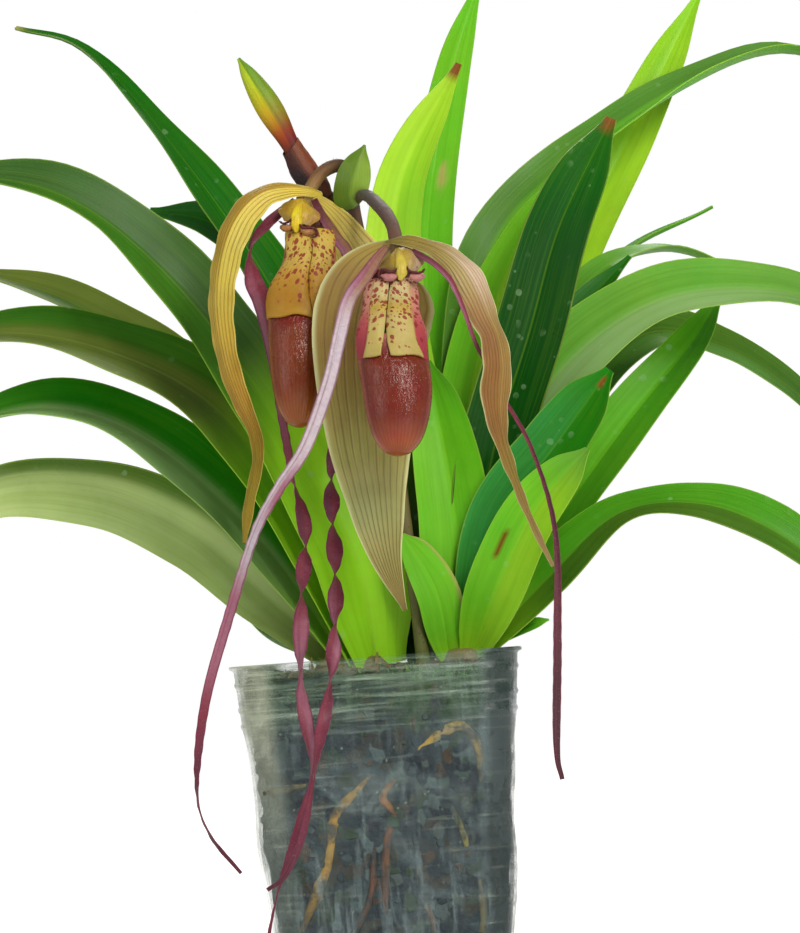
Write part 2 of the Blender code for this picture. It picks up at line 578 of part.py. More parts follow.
def make_lip(prefix, frame, pouch_skin, lobe_skin):
    outer = [pouch_ring(frame, section, 0.0) for section in POUCH_SECTIONS]
    inner = [pouch_ring(frame, section, POUCH_WALL) for section in POUCH_SECTIONS[:0:-1]]
    cup = loft(outer + inner)
    claw_route = [frame.at(0, f, d) for f, d in CLAW_ROUTE]
    claw_widths = [w * frame.scale for w in CLAW_HALF_WIDTHS]
    claw = blade(claw_route, claw_widths, [frame.forward] * 2, CLAW_FOLDS, POUCH_WALL, 8, 6)
    fused(f"{prefix}_lip_pouch", [cup, claw], pouch_skin)

    lobes = []
    for hand, line in LOBE_LINES.items():
        widths = [w * frame.scale for w in LOBE_HALF_WIDTHS[hand]]
        lean = frame.forward + frame.across * (0.25 * hand)
        lobes.append(blade([frame.at(*p) for p in line], widths, (lean, lean), (-40, -30),
                           1.0, 7, 2))
    collar = tube([frame.at(*p) for p in LOBE_COLLAR], (0.8, 1.1, 0.8), 4, 5)
    fused(f"{prefix}_lip_lobes", [collar, *lobes], lobe_skin)


# The column's knob, with two fringed arms and two cushions under them, all as across, forward
# and down points of the lip's frame.
COLUMN_KNOB = ((0, 3.5, 0.8), (0, 6.5, 2.4), (0, 9.6, 6.0), (0, 10.8, 10.5), (0, 11.0, 14.6))
COLUMN_ARM = ((1.0, 11.4, 8.6), (3.8, 12.0, 11.4), (6.2, 11.4, 12.2), (7.8, 10.2, 10.4))
COLUMN_CUSHION = ((1.6, 10.8, 12.8), (4.6, 11.2, 13.8), (7.4, 10.2, 13.4))


def make_column(prefix, frame, skin):
    bodies = [tube([frame.at(*p) for p in COLUMN_KNOB], (1.4, 2.0, 3.0, 3.6, 3.4, 1.6), 8, 8)]
    for hand in (-1, 1):
        arm = [frame.at(hand * a, f, d) for a, f, d in COLUMN_ARM]
        bodies.append(tube(arm, (1.0, 0.9, 0.8, 0.4), 6, 5))
        cushion = [frame.at(hand * a, f, d) for a, f, d in COLUMN_CUSHION]
        bodies.append(tube(cushion, (1.0, 1.6, 1.5, 0.5), 5, 6))
    fused(f"{prefix}_column", bodies, skin)


def make_bloom(prefix, shape, skins):
    route, widths, faces, folds = shape["dorsal"]
    add_object(f"{prefix}_dorsal_sepal",
               blade(route, widths, faces, folds, RIBBON_THICKNESS, 20, 2), skins["sepal"])
    route, widths, faces, folds = shape["synsepal"]
    add_object(f"{prefix}_synsepal",
               blade(route, widths, faces, folds, RIBBON_THICKNESS, 15, 4), skins["sepal"])
    for hand in ("left", "right"):
        route, widths, twists = shape[f"petal_{hand}"]
        petal = blade(route, widths, (TOWARD_VIEWER, TOWARD_VIEWER), (0, 0), RIBBON_THICKNESS,
                      shape["petal_stations"], 1, twists=twists)
        add_object(f"{prefix}_petal_{hand}", petal, skins["petal"])
    frame = LipFrame(shape["hub"], shape["lip_foot"], shape["lip_width"])
    make_lip(prefix, frame, skins["pouch"], skins["lobes"])
    make_column(prefix, frame, skins["column"])


def build():
    clear_scene()
    make_pot(material("clear_plastic", (0.42, 0.48, 0.42), 0.3))
    make_mix(material("bark_mix", (0.06, 0.08, 0.07), 0.9))
    leaf_skin = material("leaf_green", (0.10, 0.34, 0.02), 0.35)
    make_leaves("leaves_left", LEFT_LEAVES, LEFT_CROWN, LEFT_CROWN_RADII, leaf_skin)
    make_leaves("leaves_right", RIGHT_LEAVES, RIGHT_CROWN, RIGHT_CROWN_RADII, leaf_skin)
    make_stem(material("stem_purple_brown", (0.14, 0.09, 0.06), 0.5))
    make_bracts_and_bud(material("bract_green", (0.19, 0.28, 0.03), 0.45),
                        material("bract_brown", (0.08, 0.03, 0.015), 0.5),
                        material("bud_lime", (0.42, 0.40, 0.02), 0.45))
    petal = material("petal_maroon", (0.27, 0.08, 0.13), 0.5)
    pouch = material("pouch_maroon", (0.20, 0.045, 0.02), 0.25)
    column = material("column_yellow", (0.40, 0.28, 0.04), 0.5)
    skins = {"petal": petal, "pouch": pouch, "column": column}
    make_bloom("front", BLOOMS["front"],
               {**skins, "sepal": material("sepal_tan", (0.30, 0.22, 0.08), 0.5),
                "lobes": material("lobes_cream", (0.48, 0.36, 0.14), 0.5)})
    make_bloom("rear", BLOOMS["rear"],
               {**skins, "sepal": material("sepal_ochre", (0.45, 0.36, 0.06), 0.5),
                "lobes": material("lobes_ochre", (0.36, 0.22, 0.03), 0.5)})


build()
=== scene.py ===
import math
import random

import bmesh
import bpy
from mathutils import Matrix, Vector, noise


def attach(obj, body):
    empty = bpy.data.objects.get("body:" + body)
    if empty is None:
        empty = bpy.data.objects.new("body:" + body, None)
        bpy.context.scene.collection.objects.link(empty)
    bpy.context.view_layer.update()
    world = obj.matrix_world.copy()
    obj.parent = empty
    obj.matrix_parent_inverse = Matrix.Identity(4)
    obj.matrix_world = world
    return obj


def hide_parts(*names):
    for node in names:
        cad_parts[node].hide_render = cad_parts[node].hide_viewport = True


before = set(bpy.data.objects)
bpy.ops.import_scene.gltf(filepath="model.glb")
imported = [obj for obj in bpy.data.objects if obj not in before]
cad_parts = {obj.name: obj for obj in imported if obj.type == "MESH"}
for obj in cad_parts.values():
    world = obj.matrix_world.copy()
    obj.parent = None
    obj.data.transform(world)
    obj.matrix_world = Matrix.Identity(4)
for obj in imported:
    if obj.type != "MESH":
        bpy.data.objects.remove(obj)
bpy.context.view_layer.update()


# The pot: a square nursery pot, drawn in one piece from thin clear plastic that has clouded.
# The soft wall tapers to the foot and carries a narrow flange, three ridges and four drain holes.
MM = 0.001
POT_HEIGHT, POT_MOUTH, POT_FOOT = 120.0, 103.0, 84.0
POT_WALL, POT_FLOOR, POT_FLANGE = 1.2, 1.6, 1.5
RIDGE_HEIGHTS = (98.0, 104.0, 113.0)
DRAIN_PLACES = [(x, y) for x in (-24, 24) for y in (-24, 24)]
DRAIN_RADIUS = 4.5
CORNER_STEPS, SIDE_STEPS = 8, 8


def srgb(red, green, blue):
    """A colour given as 0 to 255 on a screen, made linear."""
    return (*[(max(c, 11) / 255 * 0.9479 + 0.0521) ** 2.4 for c in (red, green, blue)], 1.0)


def node(tree, kind, inputs=None, **settings):
    """Add a shader node; its inputs are given as values or as the sockets that feed them."""
    made = tree.nodes.new(kind)
    for name, value in settings.items():
        setattr(made, name, value)
    for name, value in (inputs or {}).items():
        if isinstance(value, bpy.types.NodeSocket):
            tree.links.new(value, made.inputs[name])
        else:
            made.inputs[name].default_value = value
    return made


def maths(tree, operation, a, b=0.0):
    return node(tree, "ShaderNodeMath", {0: a, 1: b}, operation=operation).outputs[0]


def times(tree, a, b):
    return maths(tree, "MULTIPLY", a, b)


def plus(tree, a, b):
    return maths(tree, "ADD", a, b)


def minus(tree, a, b):
    return maths(tree, "SUBTRACT", a, b)


def ease(tree, value, low, high, start=0.0, end=1.0):
    """Pass smoothly from start to end while the value goes from low to high."""
    inputs = {"Value": value, "From Min": low, "From Max": high, "To Min": start, "To Max": end}
    return node(tree, "ShaderNodeMapRange", inputs, interpolation_type="SMOOTHSTEP").outputs[0]


def blend(tree, part, a, b, way="MIX"):
    return node(tree, "ShaderNodeMix", {0: part, 6: a, 7: b}, data_type="RGBA",
                blend_type=way).outputs[2]


def graded(tree, value, *stops):
    """Colours picked by a value from stops of a place from 0 to 1 and a screen colour."""
    made = node(tree, "ShaderNodeValToRGB", {"Fac": value})
    for i, (position, colour) in enumerate(stops):
        stop = made.color_ramp.elements[i] if i < 2 else made.color_ramp.elements.new(position)
        stop.position, stop.color = position, srgb(*colour)
    return made.outputs["Color"]


def stretched(tree, x, y, z=0.0):
    return node(tree, "ShaderNodeCombineXYZ", {"X": x, "Y": y, "Z": z}).outputs[0]


def scaled(tree, spot, *scales):
    return node(tree, "ShaderNodeMapping", {"Vector": spot, "Scale": scales}).outputs[0]


def clouds(tree, spot, scale=1.0, detail=2.0, rough=0.5, warp=0.0):
    """Soft noise; its outputs are Fac and Color."""
    return node(tree, "ShaderNodeTexNoise", {"Vector": spot, "Scale": scale, "Detail": detail,
                                             "Roughness": rough, "Distortion": warp}).outputs


def channels(tree, colour):
    return node(tree, "ShaderNodeSeparateColor", {"Color": colour}).outputs


def axes(tree, vector):
    return node(tree, "ShaderNodeSeparateXYZ", {"Vector": vector}).outputs


def group(name, takes, gives):
    """An empty shader group; its sockets are numbers, apart from a Colour and a Vector."""
    tree = bpy.data.node_groups.new(name, "ShaderNodeTree")
    for way, labels in (("INPUT", takes), ("OUTPUT", gives)):
        for label in labels.split():
            kind = {"Colour": "Color", "Vector": "Vector"}.get(label, "Float")
            tree.interface.new_socket(label, in_out=way, socket_type="NodeSocket" + kind)
    return tree, node(tree, "NodeGroupInput").outputs, node(tree, "NodeGroupOutput").inputs


def placed(tree, effect, *values):
    """Use a shader group; its inputs are given in the order in which the group names them."""
    return node(tree, "ShaderNodeGroup", dict(enumerate(values)), node_tree=effect).outputs


# Every surface here is uneven: this group drifts a colour lighter, darker and round in hue.
drift, taken, given = group("drift", "Colour Vector Scale Amount Hue", "Colour Height")
cloud = clouds(drift, taken["Vector"], taken["Scale"], 5.0, 0.6)
swing = times(drift, minus(drift, cloud["Fac"], 0.5), times(drift, taken["Amount"], 3.0))
hue = times(drift, minus(drift, channels(drift, cloud["Color"])["Green"], 0.5),
            times(drift, taken["Hue"], 3.0))
turned = node(drift, "ShaderNodeHueSaturation", {
    "Hue": plus(drift, hue, 0.5), "Saturation": 1.0, "Value": plus(drift, swing, 1.0),
    "Color": taken["Colour"]})
drift.links.new(turned.outputs[0], given["Colour"])
drift.links.new(cloud["Fac"], given["Height"])

# Spots and specks: round marks of uneven size, kept in only a share of their cells.
flecks, taken, given = group("flecks", "Vector Scale Size Share", "Mask")
cell = node(flecks, "ShaderNodeTexVoronoi", {"Vector": taken["Vector"],
                                             "Scale": taken["Scale"]}).outputs
lot = channels(flecks, cell["Color"])
reach = times(flecks, taken["Size"], plus(flecks, times(flecks, lot["Green"], 0.7), 0.45))
inside = minus(flecks, 1.0, ease(flecks, cell["Distance"], times(flecks, reach, 0.7), reach))
kept = maths(flecks, "LESS_THAN", lot["Red"], taken["Share"])
flecks.links.new(times(flecks, inside, kept), given["Mask"])

# Dots are the same marks laid flat, for a surface that is unrolled.
dots = flecks.copy()
dots.name = "dots"
for part in dots.nodes:
    if part.bl_idname == "ShaderNodeTexVoronoi":
        part.voronoi_dimensions = "2D"

# Nerves: thin lines that run the length of a leaf or sepal and wander a little.
nerves, taken, given = group("nerves", "Across Along Count Width Wander", "Mask")
bend = clouds(nerves, stretched(nerves, times(nerves, taken["Across"], 2.0),
                                times(nerves, taken["Along"], 7.0)))["Fac"]
lane = plus(nerves, times(nerves, taken["Across"], times(nerves, taken["Count"], 0.5)),
            times(nerves, bend, taken["Wander"]))
away = maths(nerves, "ABSOLUTE", minus(nerves, maths(nerves, "FRACT", lane), 0.5))
line = ease(nerves, times(nerves, away, 2.0), 0.0, taken["Width"])
nerves.links.new(minus(nerves, 1.0, line), given["Mask"])

# Fibres: the fine streaks that follow a blade or a stem from foot to tip.
fibres, taken, given = group("fibres", "Across Along Fine Long", "Value")
thread = clouds(fibres, stretched(fibres, times(fibres, taken["Across"], taken["Fine"]),
                                  times(fibres, taken["Along"], taken["Long"])), 1.0, 4.0, 0.6)
fibres.links.new(thread["Fac"], given["Value"])


def finish(name):
    made = bpy.data.materials.new(name)
    made.use_nodes = True
    return made, made.node_tree, made.node_tree.nodes["Principled BSDF"]


def wire(tree, shader, **inputs):
    """Set or feed the shader's own sockets; an underscore in a name stands for a space."""
    for name, value in inputs.items():
        socket = shader.inputs[name.replace("_", " ")]
        if isinstance(value, bpy.types.NodeSocket):
            tree.links.new(value, socket)
        else:
            socket.default_value = value


def bump(tree, height, depth, strength=1.0):
    """Relief of a depth in millimetres."""
    return node(tree, "ShaderNodeBump", {"Height": height, "Distance": depth * MM,
                                         "Strength": strength}).outputs[0]


def form_of(tree):
    """The three numbers that each point of a piece carries about its place on the piece."""
    read = node(tree, "ShaderNodeAttribute", attribute_name="form")
    return axes(tree, read.outputs["Vector"]).values()


def object_place(tree):
    return node(tree, "ShaderNodeTexCoord").outputs["Object"]


def new_body():
    body = bmesh.new()
    body.verts.layers.float_vector.new("form")
    body.verts.layers.float_color.new("tint")
    return body


def place(name, body, skin, replaced, sharp=50.0):
    """Make a named piece in metres from a finished body in millimetres; it rides on the root."""
    bmesh.ops.recalc_face_normals(body, faces=body.faces[:])
    bmesh.ops.scale(body, vec=(MM, MM, MM), verts=body.verts[:])
    mesh = bpy.data.meshes.new(name)
    body.to_mesh(mesh)
    body.free()
    mesh.materials.append(skin)
    mesh.shade_smooth()
    mesh.set_sharp_from_angle(angle=math.radians(sharp))
    piece = bpy.data.objects.new(name, mesh)
    bpy.context.scene.collection.objects.link(piece)
    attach(piece, "root")
    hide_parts(replaced)
    return piece


def linked(vert, others):
    return next(e.other_vert(vert) for e in vert.link_edges if e.other_vert(vert) in others)


def loft(body, rings, mark, fill=True):
    """Draw a skin through rings of points, extruding one ring's edges to the next."""
    form = body.verts.layers.float_vector["form"]
    loop = bmesh.ops.create_circle(body, segments=len(rings[0]))["verts"]
    ends = []
    for k, ring in enumerate(rings):
        for i, vert in enumerate(loop):
            vert.co = ring[i]
            vert[form] = mark(k / (len(rings) - 1), i / len(ring))
        pairs = zip(loop, loop[1:] + loop[:1])
        edges = [next(e for e in a.link_edges if e.other_vert(a) is b) for a, b in pairs]
        if k in (0, len(rings) - 1):
            ends.append(edges)
        if k < len(rings) - 1:
            grown = bmesh.ops.extrude_edge_only(body, edges=edges)["geom"]
            fresh = {item for item in grown if isinstance(item, bmesh.types.BMVert)}
            loop = [linked(vert, fresh) for vert in loop]
    if fill:
        for edges in ends:
            bmesh.ops.contextual_create(body, geom=edges)


def pot_half(height):
    return (POT_FOOT + (POT_MOUTH - POT_FOOT) * height / POT_HEIGHT) / 2


def sagged(point, sag):
    """The soft wall leans in and out a little, and whatever lies against it follows."""
    dent = noise.noise(point / 22)
    return point + Vector((point.x, point.y, 0)).normalized() * sag * max(dent, -0.45)


def wall_sag(height):
    return 0.3 if height > 96 else 0.0 if height < 2 else 2.2


def square_ring(half, corner, height, sag=0.0):
    """Points round a square with round corners, as the sagging wall leaves them."""
    points = []
    for quarter in range(4):
        start = quarter * math.pi / 2
        cx = (half - corner) * (1 if quarter in (0, 3) else -1)
        cy = (half - corner) * (1 if quarter in (0, 1) else -1)
        for i in range(CORNER_STEPS + 1):
            a = start + math.pi / 2 * i / CORNER_STEPS
            points.append(Vector((cx + corner * math.cos(a), cy + corner * math.sin(a), height)))
        after = start + math.pi / 2
        span = 2 * (half - corner)
        side = Vector((math.cos(after + math.pi / 2), math.sin(after + math.pi / 2), 0))
        corner_end = points[-1].copy()
        points += [corner_end + side * span * i / SIDE_STEPS for i in range(1, SIDE_STEPS)]
    return [sagged(point, sag) for point in points]


def pot_ring(height, inset, sag=0.6):
    corner = 10 + 4 * height / POT_HEIGHT
    return square_ring(pot_half(height) - inset, corner - inset, height, sag)


levels = [(0.0, 1.2), (0.5, 0.3), (1.4, 0.0)] + [(h, 0.0) for h in range(8, 96, 8)]
for height in RIDGE_HEIGHTS:
    levels += [(height - 1.4, 0.0), (height - 0.5, -0.4), (height, -0.55), (height + 0.5, -0.4),
               (height + 1.4, 0.0)]
levels += [(117.6, 0.0), (118.3, -0.5), (118.7, -POT_FLANGE), (119.4, -POT_FLANGE - 0.1),
           (119.9, -POT_FLANGE + 0.2), (120.0, -0.6), (120.0, 0.7), (119.6, POT_WALL)]
levels += [(h, POT_WALL) for h in range(112, 4, -9)] + [(POT_FLOOR, POT_WALL)]
rings = [pot_ring(height, inset, wall_sag(height)) for height, inset in levels]


def pot_mark(k, i):
    """How near a corner a point is, its height, and whether it is inside."""
    height, inset = levels[round(k * (len(levels) - 1))]
    ring = rings[round(k * (len(levels) - 1))]
    point = ring[round(i * len(ring))]
    near = min(abs(point.x), abs(point.y)) / max(abs(point.x), abs(point.y))
    return near, height / POT_HEIGHT, 1.0 if inset == POT_WALL else 0.0


pot_body = new_body()
loft(pot_body, rings, pot_mark)

# Clouded clear plastic: thin and clear where wet bark lies against it, milky at the rim and
# clouded more thickly at the corners, most at the right ones, with a painted pale reflection on
# the left corners and painted shade on the right ones, water marks that ran down inside and level
# scuffs.
plastic, tree, shader = finish("clouded_plastic")
corner, height, _ = form_of(tree)
spot = object_place(tree)
east = axes(tree, spot)["X"]
runs = clouds(tree, scaled(tree, spot, 330, 330, 26), 1.0, 5.0, 0.7)["Fac"]
scuffs = clouds(tree, scaled(tree, spot, 24, 24, 520), 1.0, 5.0, 0.65)["Fac"]
smears = clouds(tree, spot, 55.0, 6.0, 0.7, 0.6)["Fac"]
rim_haze = times(tree, ease(tree, height, 0.74, 0.9), ease(tree, east, 0.0, 0.04, 1.0, 0.55))
low_haze = ease(tree, height, 0.6, 0.1, 0.5, 1.4)
edge_haze = plus(tree, ease(tree, height, 0.3, 0.85, 0.34, 0.6),
                 ease(tree, east, -0.03, 0.03, 0.0, 0.34))
edge_haze = times(tree, edge_haze, ease(tree, corner, 0.69, 0.84))
edge_haze = times(tree, edge_haze, ease(tree, smears, 0.36, 0.64, 0.55, 1.1))
haze = ease(tree, smears, 0.42, 0.74, 0.02, 0.16)
for more in (times(tree, ease(tree, runs, 0.5, 0.72, 0.0, 0.30), low_haze),
             ease(tree, scuffs, 0.56, 0.72, 0.0, 0.10),
             times(tree, rim_haze, ease(tree, scuffs, 0.4, 0.68, 0.0, 0.42)), edge_haze):
    haze = plus(tree, haze, more)
tone = blend(tree, smears, srgb(96, 122, 126), srgb(160, 178, 178))
tone = blend(tree, times(tree, rim_haze, 0.7), tone, srgb(128, 158, 118))
# Painted light on the corners: a pale painted reflection on the left ones, brighter higher up, and
# dark painted shade on the right ones.
lit_west_corners = blend(tree, ease(tree, height, 0.3, 0.85), srgb(104, 116, 110), srgb(164, 170, 148))
corner_light_and_shade = blend(tree, ease(tree, east, -0.03, 0.03), lit_west_corners, srgb(22, 38, 38))
tone = blend(tree, ease(tree, corner, 0.69, 0.82, 0.0, 0.9), tone, corner_light_and_shade)
scuffed = times(tree, ease(tree, scuffs, 0.5, 0.75, 0.0, 0.5),
                ease(tree, edge_haze, 0.3, 0.7, 1.0, 0.15))
wire(tree, shader, Base_Color=blend(tree, scuffed, tone, srgb(200, 208, 190)),
     Alpha=maths(tree, "MINIMUM", haze, 0.9), Roughness=ease(tree, runs, 0.3, 0.7, 0.22, 0.42),
     IOR=1.49, Normal=bump(tree, plus(tree, scuffs, runs), 0.12))


def apply_cut(piece, tools):
    """Cut the tools out of a piece with one Boolean, and remove them."""
    held = bpy.data.collections.new("tools")
    for tool in tools:
        held.objects.link(tool)
    cut = piece.modifiers.new("cut", "BOOLEAN")
    cut.operand_type, cut.collection, cut.solver = "COLLECTION", held, "EXACT"
    seen = piece.evaluated_get(bpy.context.evaluated_depsgraph_get())
    old, piece.data = piece.data, bpy.data.meshes.new_from_object(seen)
    piece.modifiers.clear()
    bpy.data.meshes.remove(old)
    for tool in tools:
        bpy.data.objects.remove(tool, do_unlink=True)
    bpy.data.collections.remove(held)


pot = place("pot_shell", pot_body, plastic, "pot", 35.0)
drills = []
for x, y in DRAIN_PLACES:
    drill = bmesh.new()
    bmesh.ops.create_cone(drill, cap_ends=True, segments=28, radius1=DRAIN_RADIUS * MM,
                          radius2=DRAIN_RADIUS * MM, depth=8 * MM)
    bmesh.ops.translate(drill, vec=(x * MM, y * MM, 0), verts=drill.verts[:])
    mesh = bpy.data.meshes.new("drill")
    drill.to_mesh(mesh)
    drill.free()
    drills.append(bpy.data.objects.new("drill", mesh))
apply_cut(pot, drills)


# The filling: a block of damp bark, moss and old roots that has taken the pot's shape.
# Thick live roots have grown out to the wall, bark chips lie loose on top and moss at one edge.
MIX_FOOT, MIX_TOP, MIX_AIR, MIX_CORNER, MIX_ROWS = 2.2, 113.0, 1.0, 12.0, 40
# The top closes in by these shares of its width while it rises by these heights.
MIX_CROWN = ((0.985, 0.8), (0.95, 1.2), (0.85, 1.5), (0.7, 1.8), (0.5, 2.0), (0.3, 2.0), (0.12, 2.0))
# Each live root's line across and up a wall, its radius and its colour.
WALL_ROOTS = (
    (((-33, 24), (-23, 45), (-19, 60), (-17, 66), (-4, 78)), 2.2, (160, 126, 44)),
    (((34, 68), (35, 84), (29, 93), (22, 91), (13, 86)), 2.3, (172, 142, 58)),
    (((-3, 28), (-1, 50), (3, 64)), 1.7, (112, 66, 34)),
    (((3, 63), (-1, 70), (5, 76)), 1.5, (140, 92, 36)),
    (((-16, 20), (-8, 34), (-5, 52)), 1.3, (100, 60, 40)),
    (((24, 64), (27, 55), (28, 50)), 1.2, (140, 132, 52)),
    (((-44, 74), (-36, 75), (-28, 76)), 1.2, (124, 112, 60)),
    (((30, 14), (32, 26), (32, 38)), 1.5, (104, 96, 52)),
    (((12, 8), (14, 22), (10, 34)), 1.2, (92, 66, 44)),
)
# How many of them each wall shows, from the front one round.
ROOTS_SHOWN = (9, 5, 6, 5)
# Where the crowns of leaves and the flowering stem stand in the filling, and how wide they are.
CROWNS = (("left_crown", (-9, 3), (17, 11), "leaves_left"),
          ("right_crown", (33, -3), (11.5, 14), "leaves_right"))
STEM_SPOT, CLEAR_OF_CROWN, CLEAR_OF_STEM = (17, -11), 2.0, 5.0


def mix_half(height):
    return pot_half(height) - POT_WALL - MIX_AIR


def route_through(points, count, samples=24):
    """Evenly spaced points on a smooth curve that passes through the given points."""
    knots = [Vector(p) for p in points]
    knots = [knots[0] * 2 - knots[1]] + knots + [knots[-1] * 2 - knots[-2]]
    dense = []
    for a, b, c, d in zip(knots, knots[1:], knots[2:], knots[3:]):
        for i in range(samples):
            t = i / samples
            dense.append(0.5 * (2 * b + (c - a) * t + (2 * a - 5 * b + 4 * c - d) * t ** 2
                                + (3 * b - a - 3 * c + d) * t ** 3))
    dense.append(knots[-2])
    walked = [0.0]
    for a, b in zip(dense, dense[1:]):
        walked.append(walked[-1] + (b - a).length)
    route, j = [], 0
    for i in range(count):
        goal = walked[-1] * i / (count - 1)
        while j < len(dense) - 2 and walked[j + 1] < goal:
            j += 1
        part = (goal - walked[j]) / max(walked[j + 1] - walked[j], 1e-9)
        route.append(dense[j].lerp(dense[j + 1], min(part, 1.0)))
    return route


def along(values, t):
    """Read a number or a colour at t from a list spread evenly from 0 to 1, without corners."""
    spot = min(max(t, 0.0), 1.0) * (len(values) - 1)
    i = min(int(spot), len(values) - 2)
    part = spot - i
    near = [values[max(i - 1, 0)], values[i], values[i + 1], values[min(i + 2, len(values) - 1)]]

    def curve(a, b, c, d):
        smooth = 0.5 * (2 * b + (c - a) * part + (2 * a - 5 * b + 4 * c - d) * part ** 2
                        + (3 * b - a - 3 * c + d) * part ** 3)
        return min(max(smooth, min(b, c)), max(b, c))

    if isinstance(values[0], tuple):
        return tuple(curve(*channel) for channel in zip(*near))
    return curve(*near)


def rings_along(points, radii, stations, sides, ribs=(0, 0.0), lump=0.0, wide=1.0):
    """Round rings along a route, with lengthwise ribs, lumps or extra width where asked."""
    route = route_through(points, stations)
    rings, side = [], None
    for i, centre in enumerate(route):
        t = i / (stations - 1)
        tangent = (route[min(i + 1, stations - 1)] - route[max(i - 1, 0)]).normalized()
        side = Vector((0, 1, 0)) if side is None else side
        side = (side - tangent * side.dot(tangent)).normalized()
        ring = []
        for k in range(sides):
            a = 2 * math.pi * k / sides
            ray = side * math.cos(a) + tangent.cross(side) * math.sin(a) * wide
            radius = along(radii, t) + ribs[1] * math.cos(ribs[0] * a)
            radius += lump * noise.noise((centre + ray * radius) / 3.0)
            ring.append(centre + ray * radius)
        rings.append(ring)
    return rings


def round_mark(t, i):
    return math.cos(2 * math.pi * i), math.sin(2 * math.pi * i), t


def tube(body, *shape, **extras):
    """A closed round stem; the arguments are those of rings_along."""
    loft(body, rings_along(*shape, **extras), round_mark)


def tinted(body, first, colour, alpha=0.0):
    """Colour the points that were added since first; colour may be a function of their form."""
    form, tint = body.verts.layers.float_vector["form"], body.verts.layers.float_color["tint"]
    body.verts.ensure_lookup_table()
    for vert in body.verts[first:]:
        shade = colour(*vert[form]) if callable(colour) else colour
        vert[tint] = (*shade[:3], alpha)


def lengthwise(colours):
    """Colours read along a round piece from its start to its end."""
    return lambda x, y, t: along(colours, t)


def tint_of(tree, output="Color"):
    """The colour that each point carries; its alpha holds a share of specks."""
    return node(tree, "ShaderNodeAttribute", attribute_name="tint").outputs[output]


ball = new_body()
heights = [MIX_FOOT + (MIX_TOP - MIX_FOOT) * i / MIX_ROWS for i in range(MIX_ROWS + 1)]
rings = [square_ring(mix_half(h) - 0.3, MIX_CORNER, h, wall_sag(h)) for h in heights]
for share, lift in MIX_CROWN:
    rings.append(square_ring(mix_half(MIX_TOP) * share, MIX_CORNER * share, MIX_TOP + lift))
for ring in rings[1:]:
    for point in ring:
        rough = noise.fractal(point / 7.0, 0.8, 2.0, 3) * 0.9 - 0.3
        out = Vector((point.x, point.y, 0)).normalized()
        point += out * min(rough, 0.5) if point.z <= MIX_TOP else Vector((0, 0, rough * 1.4))
loft(ball, rings, lambda t, i: (i, t, 0.0))

soil, tree, shader = finish("damp_bark_mix")
spot = object_place(tree)
warped = clouds(tree, spot, 120.0, 3.0)
bent = node(tree, "ShaderNodeMix", {0: 0.012, 4: spot, 5: warped["Color"]},
            data_type="VECTOR").outputs[1]
clod = node(tree, "ShaderNodeTexVoronoi", {"Vector": bent, "Scale": 210.0}).outputs
shade = graded(tree, channels(tree, clod["Color"])["Red"], (0.0, (10, 20, 28)),
               (0.3, (20, 34, 42)), (0.55, (32, 48, 52)), (0.72, (44, 38, 30)),
               (0.86, (28, 48, 32)), (1.0, (64, 80, 80)))
at = axes(tree, spot)
mossy = times(tree, ease(tree, at["Z"], 0.088, 0.106), ease(tree, at["X"], -0.01, 0.03, 0.1, 0.9))
mossy = times(tree, mossy, ease(tree, warped["Fac"], 0.36, 0.5))
soft = placed(tree, drift, blend(tree, mossy, shade, srgb(40, 72, 16)), spot, 260.0, 0.4, 0.02)
grit = placed(tree, flecks, spot, 700.0, 0.3, 0.06)["Mask"]
relief = plus(tree, soft["Height"], times(tree, clod["Distance"], -0.6))
wire(tree, shader, Base_Color=blend(tree, grit, soft["Colour"], srgb(104, 116, 106)),
     Roughness=ease(tree, soft["Height"], 0.3, 0.7, 0.55, 0.9), Normal=bump(tree, relief, 0.8))
place("root_ball", ball, soil, "potting_mix", 60.0)

# Live roots: thick, with a spongy straw or brown skin that dries in rings and flakes.
root_skin, tree, shader = finish("root_skin")
spot = object_place(tree)
soft = placed(tree, drift, tint_of(tree), spot, 240.0, 0.28, 0.015)
flake = placed(tree, flecks, spot, 420.0, 0.5, 0.2)["Mask"]
colour = blend(tree, times(tree, flake, 0.5), soft["Colour"], srgb(92, 70, 44))
mud = ease(tree, clouds(tree, spot, 110.0, 5.0, 0.75)["Fac"], 0.42, 0.6, 0.1, 0.9)
wire(tree, shader, Base_Color=blend(tree, mud, colour, srgb(34, 44, 42)), Roughness=0.7,
     Normal=bump(tree, soft["Height"], 0.25))
roots = new_body()
for quarter, count in enumerate(ROOTS_SHOWN):
    hand = -1 if quarter % 2 else 1
    turn = Matrix.Rotation(quarter * math.pi / 2, 3, "Z")
    for points, radius, tone in WALL_ROOTS[:count]:
        line = []
        for x, z in points:
            spot = turn @ Vector((hand * x, -(mix_half(z) + 0.5 - radius), z))
            line.append(sagged(spot, wall_sag(z)))
        first, skin = len(roots.verts), srgb(*tone)
        radii = (radius * 0.5, radius, radius * 0.9, radius, radius * 0.5)
        tube(roots, line, radii, 26, 10, lump=0.5)
        # Each root is painted darker at its start, where it thins into the mix: painted shade.
        shaded_start = tuple(0.3 * c for c in skin)
        tinted(roots, first, lengthwise([shaded_start, skin, skin, skin]))
place("wall_roots", roots, root_skin, "potting_mix")

# Loose chips: splinters of fir bark pressed along the walls and heaped on top between the plants.
TOP_CHIPS, WALL_CHIPS, CHIP_POINTS = 260, 420, 12
BARKS = ((70, 48, 34), (92, 62, 40), (50, 38, 30), (112, 84, 56), (60, 66, 44), (84, 74, 62))
WALL_BARKS = ((30, 44, 50), (42, 54, 56), (62, 48, 34), (24, 34, 40), (58, 68, 66), (34, 54, 34))
WALL_JAGS = ((-0.5, 0.5), (-0.3, 0.1), (-0.5, 0.5))
chance = random.Random(11)
chips = new_body()


